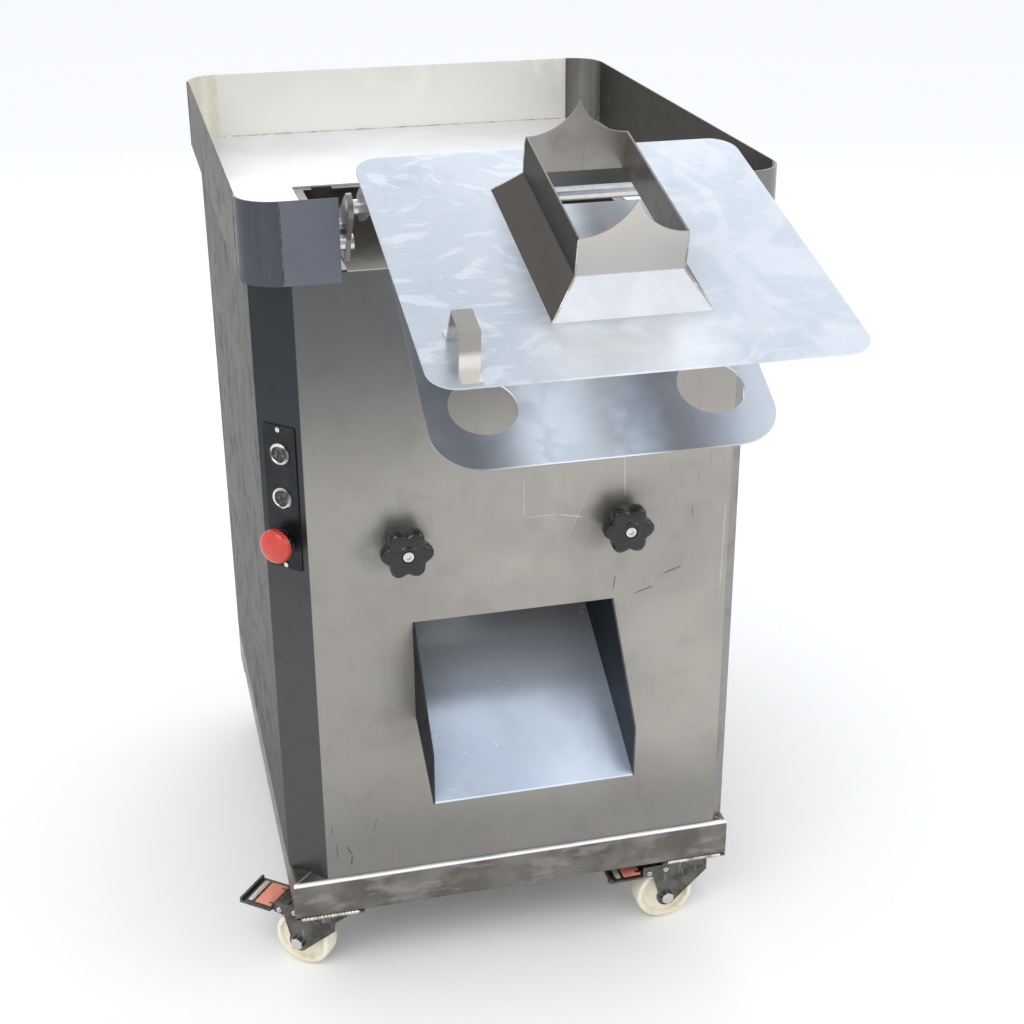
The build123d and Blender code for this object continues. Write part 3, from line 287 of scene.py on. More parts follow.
def rounded(corners, radius, steps=5):
    """An outline of points with its corners rounded by arcs of one radius."""
    corners = np.array(corners, float)
    out = []
    for i in range(len(corners)):
        here = corners[i]
        before, after = corners[i - 1] - here, corners[(i + 1) % len(corners)] - here
        reach = min(radius, 0.45 * np.linalg.norm(before), 0.45 * np.linalg.norm(after))
        a = here + before / np.linalg.norm(before) * reach
        b = here + after / np.linalg.norm(after) * reach
        t = np.linspace(0, 1, steps)[:, None]
        out.append((1 - t) ** 2 * a + 2 * t * (1 - t) * here + t**2 * b)
    return np.concatenate(out)


def mill_finish():
    """Tube as it comes from the mill: grey, with brownish blotches, and a painted highlight along the frame's
    top front edge.
    """
    steel = Finish("mill_tube", metal=0.8, rough=0.42)
    y, z = steel.axis("Y"), steel.axis("Z")
    edge = z.rise(tube_high - 0.0042, tube_high - 0.0022) * y.rise(-frame_end + 0.006, -frame_end + 0.003)
    blotch = steel.cloud(0.045, detail=5.0).rise(0.35, 0.7)
    spots = steel.cloud(0.012, (3, 3, 1), seed=(4, 2, 7)).rise(0.52, 0.68)
    lines = steel.cloud(0.0012, (60, 60, 1), detail=2.0)
    tone = steel.mix(blotch, linear(102, 98, 93), linear(138, 134, 128))
    tone = steel.mix(spots * 0.45, tone, linear(168, 164, 158))
    tone = steel.mix(lines * 0.25, tone, linear(84, 81, 77))
    # Painted highlight: the top front edge of the frame is painted near white.
    tone = steel.mix(edge, tone, linear(252, 252, 252))
    return steel.set(tone, 0.34 + 0.2 * blotch, lines + 0.4 * spots, depth=0.0002, strength=0.3)


def weld_finish():
    """A fresh bead: bright ripples with a little heat tint."""
    metal = Finish("weld_bead", metal=0.95, rough=0.3)
    tint = metal.cloud(0.012).rise(0.4, 0.65)
    return metal.set(metal.mix(tint, linear(214, 212, 208), linear(164, 148, 128)), 0.24 + 0.2 * tint)


mill = mill_finish()
weld = weld_finish()


def frame_tube(name, half_length, reach, turn):
    """One side of the frame: a rounded square section, cut at 45 degrees at both ends."""
    square = [(0.0, tube_low), (0.0, tube_high), (tube, tube_high), (tube, tube_low)]
    depth, height = rounded(square, tube_corner, 7).T
    rows = [np.stack([end * (half_length - depth), depth - reach, height], axis=-1) for end in (-1, 1)]
    count = len(depth)
    faces = [list(f) for f in weave(2, count)]
    faces += [list(range(count)), list(range(count, 2 * count))]
    place = Matrix.Rotation(radians(turn), 4, "Z")
    return shape(name, placed(np.concatenate(rows), place), faces, "cabinet", mill, 25.0)


def corner_name(side, end):
    """The name of a corner, from the signs of its x and y."""
    return f"{'left' if side < 0 else 'right'}_{'front' if end < 0 else 'back'}"


for name, half_length, reach, turn in (
    ("frame_tube_front", frame_half, frame_end, 0),
    ("frame_tube_right", frame_end, frame_half, 90),
    ("frame_tube_back", frame_half, frame_end, 180),
    ("frame_tube_left", frame_end, frame_half, 270),
):
    length = frame_tube(name, half_length, reach, turn)
    if name == "frame_tube_front":
        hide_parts("base_frame")
mitre_radius, mitre_pitch = 0.0010, 0.0022
mitre_gap = 0.003
for side in (-1, 1):
    for end in (-1, 1):
        outer = (side * (frame_half - mitre_gap), end * (frame_end - mitre_gap), tube_high)
        inner = (side * (frame_half - tube), end * (frame_end - tube), tube_high)
        weld_name = f"mitre_weld_{corner_name(side, end)}"
        bead(weld_name, outer, inner, mitre_radius, mitre_pitch, "cabinet", weld)

# Casters: pressed steel forks under welded top plates, ivory nylon wheels on bolts with nuts, and
# on the front pair a foot pedal for the brake. The pedal's pad carries a bare orange plate.
caster_x, caster_y = 0.233, 0.312


def caster_place(side, end, turn):
    """The caster's own axes: x along its trail, z up, at its pivot over the floor."""
    pivot = Matrix.Translation((side * caster_x, end * caster_y, 0.0))
    return pivot @ Matrix.Rotation(radians(turn), 4, "Z")


def turned(name, profile, place, body, finish, steps=64, closed=False, angle=35.0):
    """A turned piece: a profile of (radius, height) points, carried once round the piece's z axis."""
    profile = np.array(profile, float)
    turn = np.linspace(0, 2 * pi, steps, endpoint=False)
    radius, height = profile[:, 0][:, None], profile[:, 1][:, None]
    flat = np.broadcast_to(height, (len(profile), steps))
    grid = np.stack([radius * np.cos(turn), radius * np.sin(turn), flat], axis=-1).reshape(-1, 3)
    faces = weave(len(profile), steps, round_rows=closed)
    return shape(name, placed(grid, place), faces, body, finish, angle)


def slab(name, outline, low, high, place, body, finish, edge=0.0006, angle=35.0):
    """A plate with softened edges: an outline in the piece's x and y, between two heights."""
    outline = np.array(outline, float)
    after, before = np.roll(outline, -1, 0), np.roll(outline, 1, 0)
    run = after - before
    run /= np.linalg.norm(run, axis=1)[:, None]
    inward = np.stack([-run[:, 1], run[:, 0]], axis=-1)
    area = np.sum(outline[:, 0] * after[:, 1] - after[:, 0] * outline[:, 1])
    inward *= np.sign(area)
    drops = [(edge, low), (0.3 * edge, low + 0.3 * edge), (0.0, low + edge)]
    drops += [(0.0, high - edge), (0.3 * edge, high - 0.3 * edge), (edge, high)]
    rings = [np.column_stack([outline + inward * step, np.full(len(outline), z)]) for step, z in drops]
    count = len(outline)
    faces = [list(f) for f in weave(len(rings), count)]
    faces.append(list(range(count))[::-1])
    faces.append(list(range((len(rings) - 1) * count, len(rings) * count)))
    return shape(name, placed(np.concatenate(rings), place), faces, body, finish, angle)


def zinc_finish():
    """Pressed steel with a dull zinc coat, darker in soft patches."""
    zinc = Finish("caster_zinc", metal=0.85, rough=0.35)
    patch = zinc.cloud(0.02, detail=5.0).rise(0.35, 0.65)
    scuff = zinc.cloud(0.004, (1, 1, 8), detail=2.0).rise(0.6, 0.72)
    tone = zinc.mix(patch, linear(74, 72, 69), linear(108, 106, 102))
    tone = zinc.mix(scuff * 0.4, tone, linear(176, 174, 168))
    return zinc.set(tone, 0.3 + 0.15 * patch, patch + scuff, depth=0.0003, strength=0.2)


def nylon_finish():
    """Ivory nylon with road dirt rubbed into the tread."""
    nylon = Finish("ivory_nylon", rough=0.42, Subsurface_Weight=0.08, Subsurface_Scale=0.01)
    grime = nylon.cloud(0.009, detail=6.0).rise(0.5, 0.75)
    low = nylon.axis("Z").rise(0.022, 0.0)
    tone = nylon.mix(grime * 0.5, linear(238, 232, 212), linear(196, 184, 156))
    tone = nylon.mix(low * 0.35, tone, linear(206, 192, 160))
    return nylon.set(tone, 0.36 + 0.25 * grime, grime, depth=0.0002, strength=0.25)


def bright_finish():
    """Plated bolts and turned fittings, nearly mirror bright."""
    bright = Finish("bright_steel", metal=1.0, rough=0.18)
    haze = bright.cloud(0.006)
    return bright.set(bright.mix(haze, linear(190, 190, 188), linear(222, 222, 222)), 0.12 + 0.2 * haze)


def orange_finish():
    """A plain painted plate, worn pale at its edges."""
    paint = Finish("orange_plate", rough=0.45)
    worn = paint.cloud(0.003, detail=5.0).rise(0.5, 0.66)
    return paint.set(paint.mix(worn, linear(232, 138, 112), linear(238, 178, 156)), 0.4 + 0.2 * worn)


zinc = zinc_finish()
nylon = nylon_finish()
bright = bright_finish()
orange = orange_finish()
pale = Finish("pedal_groove", metal=0.3, rough=0.4).set(linear(212, 206, 190))
half_tread = 0.013
hub_half = 0.0165
wheel_radius = 0.0375
tread_half = [
    (0.00505, hub_half),
    (0.0112, hub_half),
    (0.0120, hub_half - 0.0008),
    (0.0122, 0.0085),
    (0.0140, 0.0070),
    (0.0265, 0.0070),
    (0.0285, 0.0082),
    (0.0298, 0.0118),
    (0.0312, half_tread),
    (0.0342, half_tread),
    (0.0362, 0.0118),
    (0.0373, 0.0090),
    (wheel_radius, 0.0050),
]
tread_profile = tread_half + [(r, -h) for r, h in tread_half[::-1]]
casters = {
    "front_left": (-1, -1, 141.0),
    "front_right": (1, -1, 182.0),
    "rear_left": (-1, 1, 20.0),
    "rear_right": (1, 1, 160.0),
}
trail = 0.033
fork_side = 0.020
rivet_places = [(0.058, 0.079), (0.036, 0.081)]
nut_radius, nut_height, head_height = 0.0084, 0.0054, 0.0074
plate_weld_half = 0.036
plate_weld_outside, plate_weld_inside = 0.0282, 0.0278
plate_weld_low = tube_low - 0.0002
along_axle = Matrix.Translation((trail, 0.0, wheel_radius)) @ Matrix.Rotation(radians(-90), 4, "X")
rivet_profile = [
    (0.0, 0.0030),
    (0.0016, 0.0029),
    (0.0020, 0.0018),
    (0.0032, 0.0014),
    (0.0040, 0.0),
    (0.0040, -0.0004),
    (0.0, -0.0004),
]
bolt_profile = [
    (0.0, 0.0100),
    (0.0022, 0.0097),
    (0.0042, 0.0084),
    (0.0051, 0.0066),
    (0.0051, 0.0),
    (0.0, 0.0),
]


def six_sided(turn):
    """How far out a six-sided outline lies at each angle, as a share of its corners' distance."""
    return np.cos(pi / 6) / np.cos((turn + pi / 6) % (pi / 3) - pi / 6)


def hexagon_nut(name, place, radius, height, body):
    """A six-sided nut or bolt head with its corners turned off, from its seat at z 0."""
    turn = np.linspace(0, 2 * pi, 72, endpoint=False)
    six = six_sided(turn)
    rings = [
        (0.0, 0.0, 0.0),
        (1.0, 0.0, 1.0),
        (1.0, 0.86, 1.0),
        (0.95, 0.96, 0.6),
        (0.84, 1.0, 0.0),
        (0.0, 1.0, 0.0),
    ]
    rows = []
    for share, rise, sided in rings:
        r = radius * share * (1.0 + (six - 1.0) * sided)
        level = np.full_like(turn, height * rise)
        rows.append(np.stack([r * np.cos(turn), r * np.sin(turn), level], axis=-1))
    return shape(name, placed(np.concatenate(rows), place), weave(len(rows), len(turn)), body, bright, 30.0)


wear(["caster_plates"], zinc)
for caster, (side, end, turn) in casters.items():
    here = caster_place(side, end, turn)
    body = f"caster_{caster}"
    wear([f"caster_fork_{caster}"], zinc)
    axle = here @ along_axle
    wheel = turned(f"wheel_{caster}", tread_profile, axle, f"wheel_{caster}", nylon, 72, closed=True)
    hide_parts(f"caster_wheel_{caster}")
    for face in (-1, 1):
        leg = Matrix.Rotation(radians(-90 * face), 4, "X")
        mark = "far" if face > 0 else "near"
        for i, (x, z) in enumerate(rivet_places):
            rivet_seat = here @ Matrix.Translation((x, face * (fork_side + 0.0004), z)) @ leg
            rivet = turned(f"rivet_{caster}_{i}_{mark}", rivet_profile, rivet_seat, body, bright, 24)
        seat = here @ Matrix.Translation((trail, face * fork_side, wheel_radius)) @ leg
        thickness = head_height if face < 0 else nut_height
        nut = hexagon_nut(f"axle_nut_{caster}_{mark}", seat, nut_radius, thickness, body)
        if face < 0:
            turned(f"axle_bolt_{caster}", bolt_profile, seat, body, bright, 32)
    for face in (-1, 1):
        y = end * caster_y + face * (plate_weld_outside if face == end else plate_weld_inside)
        start = (side * caster_x - plate_weld_half, y, plate_weld_low)
        stop = (side * caster_x + plate_weld_half, y, plate_weld_low)
        mark = "far" if face > 0 else "near"
        bead(f"plate_weld_{caster}_{mark}", start, stop, 0.0023, 0.0042, "cabinet", weld)
pad_half = 0.021
pad_high = 0.0801


def pad_strip(near, far, radius):
    """A rounded strip across the pedal's pad, between two distances from the caster's pivot."""
    corners = [(near, -pad_half), (far, -pad_half), (far, pad_half), (near, pad_half)]
    return rounded(corners, radius)


for caster in ("front_left", "front_right"):
    here = caster_place(*casters[caster])
    body = f"pedal_{caster}"
    wear([f"brake_pedal_{caster}"], zinc)
    patch = pad_strip(0.070, 0.093, 0.002)
    slab(f"pedal_plate_{caster}", patch, pad_high, pad_high + 0.0010, here, body, orange, 0.0003)
    groove = pad_strip(0.0965, 0.1035, 0.0034)
    slab(f"pedal_groove_{caster}", groove, pad_high, pad_high + 0.0011, here, body, pale, 0.0004)

# Cabinet: brushed stainless sheet. The front is one sheet bent back at two chamfers, between flat
# sides, with a removable rear panel and a floor pan.
left_bend, right_bend = -0.233, 0.258
knob_x, knob_high = 0.1275, 0.581


def brushed(
    name,
    tones,
    rough=0.36,
    grain=(40, 1, 40),
    metal=0.8,
    grain_depth=0.00012,
    hair=0.3,
    line=0.12,
    smear=0.14,
    **fixed,
):
    """Brushed sheet: two tones in soft clouds, grain lines one way, smears and patches of fine hairs.

    Further names set the shader's other sockets, such as the tint of what it reflects at a glance.
    """
    sheet = Finish(name, metal=metal, rough=rough, **fixed)
    clouds = sheet.cloud(0.16, detail=3.0, ripple=0.4).rise(0.3, 0.7)
    lines = sheet.cloud(0.0011, grain, detail=2.0)
    smudge = sheet.cloud(0.035, detail=6.0, seed=(3, 1, 5), ripple=0.8).rise(0.50, 0.68)
    patch = sheet.cloud(0.08, detail=2.0, seed=(7, 3, 2)).rise(0.50, 0.64)
    hairs = sheet.cloud(0.0014, (1, 45, 45), 1.0, (0.4, 0.9, 0.3), (2, 8, 1)).rise(0.66, 0.73)
    sheet.scratch = hairs * patch
    sheet.tone = sheet.mix(clouds, tones[0], tones[1])
    sheet.tone = sheet.mix(lines * line, sheet.tone, linear(126, 123, 119))
    sheet.tone = sheet.mix(sheet.scratch * hair, sheet.tone, linear(92, 90, 88))
    sheet.rough = rough - 0.05 + smear * smudge + 0.4 * line * lines
    sheet.height = lines - 2.5 * hair * sheet.scratch
    return sheet.set(sheet.tone, sheet.rough, sheet.height, grain_depth, 0.35)


def stroke(sheet, start, end, width):
    """A straight mark on the front from one point (x, z) to another: 1 on it, and 0 beside it."""
    run = hypot(end[0] - start[0], end[1] - start[1])
    c, s = (end[0] - start[0]) / run, (end[1] - start[1]) / run
    x, z = sheet.axis("X") - start[0], sheet.axis("Z") - start[1]
    along = x * c + z * s
    beside = z * c - x * s
    beside = beside.math("ABSOLUTE", beside, 0.0)
    return beside.rise(width, 0.3 * width) * along.rise(0.0, 0.2 * run) * along.rise(run, 0.8 * run)


def spot(sheet, x, z, wide, high):
    """A soft oval on the front: 1 in its middle and 0 at its edge."""
    across = (sheet.axis("X") - x) * (1.0 / wide)
    up = (sheet.axis("Z") - z) * (1.0 / high)
    return (across * across + up * up).rise(1.0, 0.15)


pale_marks = [
    ((0.129, 0.664), (0.130, 0.606), 0.0008),
    ((0.012, 0.648), (0.012, 0.596), 0.0005),
    ((0.012, 0.597), (0.052, 0.597), 0.0005),
    ((0.052, 0.597), (0.082, 0.590), 0.0009),
    ((0.253, 0.600), (0.251, 0.470), 0.0007),
    ((0.095, 0.640), (0.060, 0.560), 0.0003),
]
dark_marks = [
    ((0.178, 0.506), (0.203, 0.514), 0.0011),
    ((0.143, 0.484), (0.169, 0.492), 0.0011),
    ((0.121, 0.512), (0.118, 0.492), 0.0010),
    ((-0.221, 0.196), (-0.219, 0.172), 0.0008),
    ((-0.209, 0.190), (-0.202, 0.176), 0.0012),
    ((-0.202, 0.177), (-0.204, 0.160), 0.0012),
    ((-0.224, 0.222), (-0.227, 0.208), 0.0007),
    ((-0.170, 0.224), (-0.176, 0.204), 0.0006),
    ((0.212, 0.590), (0.213, 0.576), 0.0006),
]


def front_finish():
    """The front sheet: warm grey with scratches and marks, and painted shade: darker towards the left, darker
    and cooler up under the tray, darker low down under the chute, and painted shadows beside the knobs. The
    chamfers are painted darker as painted reflections, the left one darker and cooler towards the top.
    """
    sheet = brushed("front_sheet", (linear(160, 155, 149), linear(174, 170, 163)), 0.40, (1, 1, 60))
    x, z = sheet.axis("X"), sheet.axis("Z")
    left = x.rise(left_bend + 0.0005, left_bend - 0.0005)
    right = x.rise(right_bend - 0.0005, right_bend + 0.0005)
    shade = z.rise(0.62, 0.84) * x.rise(0.20, -0.08)
    low = z.rise(0.30, 0.18)
    # Painted shade: darker towards the left, darker and cooler up under the tray, and darker low down under
    # the chute.
    tone = sheet.mix(x.rise(0.04, -0.24) * 0.5, sheet.tone, linear(132, 129, 124))
    tone = sheet.mix(shade * 0.85, tone, linear(84, 86, 88))
    tone = sheet.mix(low * 0.6, tone, linear(116, 114, 111))
    # Painted shadows of the two knobs, a little to their left.
    for place in (-knob_x, knob_x):
        shadow = spot(sheet, place - 0.026, knob_high - 0.003, 0.040, 0.036)
        tone = sheet.mix(shadow * 0.25, tone, linear(92, 92, 92))
    for start, end, width in pale_marks:
        tone = sheet.mix(stroke(sheet, start, end, width) * 0.6, tone, linear(214, 212, 208))
    for start, end, width in dark_marks:
        tone = sheet.mix(stroke(sheet, start, end, width) * 0.8, tone, linear(72, 71, 70))
    # Painted reflections on the chamfers: the left one dark and cooler towards the top, the right one darker.
    dark = sheet.mix(z.rise(0.35, 0.85), linear(79, 80, 80), linear(49, 54, 58))
    tone = sheet.mix(left, tone, dark)
    tone = sheet.mix(right * 0.7, tone, linear(112, 110, 108))
    return sheet.set(tone, sheet.rough)


def side_finish():
    """The side sheets: grey, with soft dark patches at half height that are painted reflections, darker
    towards the foot, and painted shade at the top under the tray.
    """
    glance = (0.06, 0.06, 0.06, 1.0)
    tones = (linear(126, 125, 122), linear(146, 145, 142))
    sheet = brushed("side_sheet", tones, 0.30, (1, 1, 60), Specular_Tint=glance)
    z = sheet.axis("Z")
    wave = sheet.cloud(0.24, (1, 1.0, 1.3), detail=1.0, ripple=0.5)
    where = z.rise(0.74, 0.64) * z.rise(0.40, 0.52)
    # Painted reflections: soft dark wavy patches at half height.
    tone = sheet.mix(wave.rise(0.36, 0.66) * where * 0.6, sheet.tone, linear(84, 84, 83))
    tone = sheet.mix(z.rise(0.52, 0.20) * 0.6, tone, linear(104, 102, 99))
    # Painted shade at the top of the side, under the tray's overhang.
    tone = sheet.mix(z.rise(0.80, 0.92) * 0.4, tone, linear(120, 118, 116))
    return sheet.set(tone, sheet.rough, wave, 0.0009, 0.2)


wear(["front_panel"], front_finish())
wear(["left_side_panel", "right_side_panel"], side_finish())
plain_sheet = brushed("plain_sheet", (linear(150, 149, 147), linear(172, 171, 169)), 0.36, (1, 1, 60))
wear(["rear_panel", "base_plate", "bulkhead"], plain_sheet)
wear(["electrical_box", "switch_bodies"], Finish("box_plastic", rough=0.5).set(linear(140, 142, 144)))

# Outlet chute: a ramp folded from one sheet between two cheeks that are cut back to a slope.
# The ramp's pale bluish colour is a painted reflection of the sky.


def chute_finish():
    """The ramp: pale blue as a painted sky reflection, painted darker at its right, and painted near white
    far inside as painted light.
    """
    # Painted reflection of the sky: the ramp's pale blue tones.
    tones = (linear(216, 229, 249), linear(228, 240, 254))
    ramp = brushed("chute_ramp_sheet", tones, 0.30, (40, 1, 40), 0.6, hair=0.05, line=0.02, smear=0.02)
    x, z = ramp.axis("X"), ramp.axis("Z")
    patch = ramp.cloud(0.05, detail=3.0, seed=(9, 2, 4)).rise(0.45, 0.7)
    painted_light_inside = z.rise(0.345, 0.44)
    tone = ramp.mix(patch * 0.3, ramp.tone, linear(188, 199, 218))
    # Painted reflection darker at the right; painted light near white far inside the chute.
    tone = ramp.mix(x.rise(0.03, 0.11) * 0.4, tone, linear(170, 182, 204))
    tone = ramp.mix(painted_light_inside * 0.8, tone, linear(226, 226, 222))
    return ramp.set(tone, ramp.rough, ramp.height, 0.00001, 0.2)


def cheek_finish():
    """The cheeks: painted dark as painted shade, and the right one painted a little lighter where more light
    falls.
    """
    glance = (0.3, 0.3, 0.3, 1.0)
    tones = (linear(48, 52, 56), linear(64, 68, 73))
    cheek = brushed("chute_cheek_sheet", tones, 0.34, (40, 1, 40), Specular_Tint=glance)
    # Painted light: the right cheek lighter than the shaded left one.
    tone = cheek.mix(cheek.axis("X").rise(0.0, 0.01) * 0.7, cheek.tone, linear(92, 98, 105))
    return cheek.set(tone, cheek.rough)


wear(["chute_ramp"], chute_finish())
wear(["chute_cheeks"], cheek_finish())

# Controls: a bare dark plate, two metal push-buttons with polished bezels and dished caps, and
# a red mushroom stop button with a black collar.


def plate_finish():
    """Dark metal with a faint haze."""
    plate = Finish("dark_plate", metal=0.7, rough=0.38)
    haze = plate.cloud(0.03).rise(0.4, 0.7)
    return plate.set(plate.mix(haze, linear(34, 37, 40), linear(48, 50, 53)), 0.32 + 0.1 * haze)


def bezel_finish():
    """Polished rings, with a painted reflection of the dark plate and the sky in patches of their colour."""
    bezel = Finish("polished_bezel", metal=1.0, rough=0.12)
    glint = bezel.cloud(0.016, detail=0.0).rise(0.40, 0.60)
    # Painted reflection: dark and bright patches for the plate and the sky.
    return bezel.set(bezel.mix(glint, linear(84, 83, 82), linear(226, 225, 222)), 0.10 + 0.1 * glint)


def cap_finish():
    """Spun metal: dark, with painted highlights in places along fine rings."""
    cap = Finish("spun_cap", metal=0.9, rough=0.3)
    grain = cap.cloud(0.0030, detail=3.0).rise(0.45, 0.75)
    # Painted highlights: the lighter tone where the rings would catch the light.
    return cap.set(cap.mix(grain, linear(66, 64, 62), linear(132, 130, 126)), 0.22 + 0.16 * grain)


def red_finish():
    """Moulded red plastic, a little faded in patches."""
    red = Finish("stop_red", rough=0.32, Coat_Weight=0.3)
    fade = red.cloud(0.012).rise(0.4, 0.7)
    return red.set(red.mix(fade, linear(190, 52, 36), linear(204, 64, 46)), 0.28 + 0.1 * fade)


def black_finish():
    """Glossy moulded black plastic, a little grey with dust."""
    black = Finish("black_plastic", rough=0.25, Coat_Weight=0.2)
    dust = black.cloud(0.006, detail=6.0).rise(0.5, 0.75)
    tone = black.mix(dust, linear(5, 6, 7), linear(16, 17, 19))
    return black.set(tone, 0.18 + 0.2 * dust, dust, 0.0001, 0.2)


face_along = Vector((42.0, -41.0, 0.0)).normalized()
face_out = Vector((face_along.y, -face_along.x, 0.0))
face_middle = Vector((-0.254, -0.3145, 0.0))
plate_rise = 0.0015


def on_face(height):
    """A control's own axes, by its height over the frame: x along the face, y up, z out of it."""
    turn = Matrix((face_along, Vector((0, 0, 1)), face_out)).transposed().to_4x4()
    place = face_middle + Vector((0, 0, tube_low + height)) + face_out * plate_rise
    return Matrix.Translation(place) @ turn


black = black_finish()
cap_metal = cap_finish()
polished = bezel_finish()
red = red_finish()
wear(["control_plate"], plate_finish())
wear(["fixings", "knob_studs"], bright)
ring_profile = [
    (0.0089, 0.0),
    (0.0089, 0.0024),
    (0.0094, 0.0030),
    (0.0104, 0.0030),
    (0.0116, 0.0026),
    (0.0126, 0.0014),
    (0.0128, 0.0004),
    (0.0128, 0.0),
]
cap_profile = [
    (0.0, -0.0020),
    (0.0086, -0.0020),
    (0.0086, 0.0026),
    (0.0082, 0.0030),
    (0.0076, 0.0028),
    (0.0074, 0.0021),
    (0.0050, 0.0017),
    (0.0025, 0.0015),
    (0.0, 0.0014),
]
button_heights = {"upper": 0.599, "lower": 0.547}
for button, height in button_heights.items():
    ring = turned(f"{button}_bezel_ring", ring_profile, on_face(height), "cabinet", polished, 48, closed=True)
    cap = turned(f"{button}_cap", cap_profile, on_face(height), f"{button}_button", cap_metal, 48)
    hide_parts(f"{button}_button_cap")
    if button == "upper":
        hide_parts("button_bezels")
stop_height = 0.496
head_radius, head_edge, dome_rise = 0.0196, 0.0195, 0.0074
quarter = np.linspace(0, 1, 10) * pi / 2
dome = [(head_radius * cos(a), head_edge + dome_rise * sin(a)) for a in quarter]
stem = [(0.0, -0.004), (0.008, -0.004), (0.008, 0.014), (0.0185, 0.014), (head_radius, 0.0150)]
stop_profile = stem + dome[:-1] + [(0.0, head_edge + dome_rise)]
stop = turned("stop_head", stop_profile, on_face(stop_height), "stop_button", red, 64)
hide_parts("estop_head")
collar_profile = [
    (0.0083, 0.0),
    (0.0083, 0.0100),
    (0.0120, 0.0100),
    (0.0136, 0.0092),
    (0.0143, 0.0040),
    (0.0150, 0.0036),
    (0.0150, 0.0),
]
collar = turned("stop_collar", collar_profile, on_face(stop_height), "cabinet", black, 48, closed=True)
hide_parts("estop_collar")

# Star knobs: six-lobed grips moulded in black plastic around a hub, each with a plated socket
# screw sunk in its face. They clamp the cutter cartridge from in front.
lobes = 6
grip_radius = 0.0298
grip_valley = 0.0234
grip_hub = 1.12 * grip_valley
knob_face = -0.370


def grip(name, x, body):
    """A lobed grip: the profile's share of the radius, times a radius that waves six times round."""
    profile = [
        (0.0, 0.0028),
        (0.25, 0.0028),
        (0.28, 0.0004),
        (0.35, 0.0),
        (0.42, 0.0004),
        (0.47, 0.0019),
        (0.80, 0.0022),
        (0.90, 0.0030),
        (0.97, 0.0048),
        (1.0, 0.0076),
        (1.0, 0.0166),
        (0.97, 0.0196),
        (0.90, 0.0212),
        (0.50, 0.0220),
        (0.0, 0.0220),
    ]
    turn = np.linspace(0, 2 * pi, 144, endpoint=False)
    wave = 0.5 - 0.5 * np.cos(lobes * turn)
    rim = grip_valley + (grip_radius - grip_valley) * wave**0.7
    share, depth = np.array(profile).T
    lobed = np.clip((share - 0.5) / 0.3, 0, 1)[:, None]
    radius = share[:, None] * (grip_hub + (rim[None, :] - grip_hub) * lobed)
    away = np.broadcast_to(knob_face + depth[:, None], radius.shape)
    points = np.stack([x + radius * np.sin(turn), away, knob_high + radius * np.cos(turn)], axis=-1)
    return shape(name, points.reshape(-1, 3), weave(len(share), len(turn)), body, black, 40.0)


def socket_screw(name, x, body):
    """A plated screw head with a six-sided socket: an outer round wall and an inner six-sided one."""
    turn = np.linspace(0, 2 * pi, 48, endpoint=False)
    rings = [
        (0.0, 0.0020, 0),
        (0.0032, 0.0020, 1),
        (0.0034, -0.0002, 1),
        (0.0048, -0.0004, 0),
        (0.0060, 0.0002, 0),
        (0.0063, 0.0027, 0),
        (0.0, 0.0027, 0),
    ]
    rows = []
    for radius, depth, sided in rings:
        r = radius * (six_sided(turn) if sided else np.ones_like(turn))
        away = np.full_like(turn, knob_face + depth)
        rows.append(np.stack([x + r * np.sin(turn), away, knob_high + r * np.cos(turn)], axis=-1))
    return shape(name, np.concatenate(rows), weave(len(rows), len(turn)), body, bright, 30.0)


for knob, x in (("knob_left", -knob_x), ("knob_right", knob_x)):
    star = grip(f"{knob}_grip", x, knob)
    screw = socket_screw(f"{knob}_screw", x, knob)
    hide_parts(knob)

# Tray: a floor sheet with the feed opening, inside welded walls with rounded corner pieces.
# The corner seams are welded and ground, and keep a thin line with a little heat tint.
wall_x, front_y, back_y = 0.287, -0.378, 0.343
corner_radius = 0.0415
corner_x = wall_x - corner_radius


def tray_floor_finish():
    """The floor: pale and smooth, with painted shade darkening the strip in front of the feed opening, under
    the lid.
    """
    tones = (linear(222, 224, 227), linear(236, 238, 242))
    few = dict(hair=0.04, line=0.02, smear=0.02)
    floor = brushed("tray_floor_sheet", tones, 0.34, (40, 1, 40), 0.5, 0.00001, **few)
    # Painted shade: the strip in front of the feed opening, in the lid's shade.
    return floor.set(floor.mix(floor.axis("Y").rise(-0.325, -0.345), floor.tone, linear(84, 86, 88)))


def tray_wall_finish():
    """One finish for all the walls, with painted light and shade by the way each wall faces: cream at the
    back, brown-grey at the right, cool grey in front.
    """
    glance = (0.3, 0.3, 0.3, 1.0)
    tones = (linear(104, 102, 99), linear(124, 121, 117))
    wall = brushed("tray_wall_sheet", tones, 0.32, (1, 1, 60), Specular_Tint=glance)
    x, y = wall.axis("X"), wall.axis("Y")
    back = y.rise(back_y - 0.0035, back_y - 0.0025) * (1 - y.rise(back_y - 0.0005, back_y - 0.0001))
    right = x.rise(wall_x - 0.0030, wall_x - 0.0019) * (1 - x.rise(wall_x - 0.0008, wall_x - 0.0002))
    front = y.rise(front_y + 0.0045, front_y + 0.0035)
    # Painted light and shade: each wall's inner face gets its own lit or shaded tone.
    tone = wall.mix(back, wall.tone, linear(240, 237, 230))
    tone = wall.mix(right, tone, linear(94, 92, 88))
    tone = wall.mix(front, tone, linear(118, 118, 119))
    tone = wall.mix(front * x.rise(0.0, -0.01), tone, linear(106, 110, 119))
    wall.join(0.8 - 0.45 * back, "Metallic")
    return wall.set(tone, wall.rough)


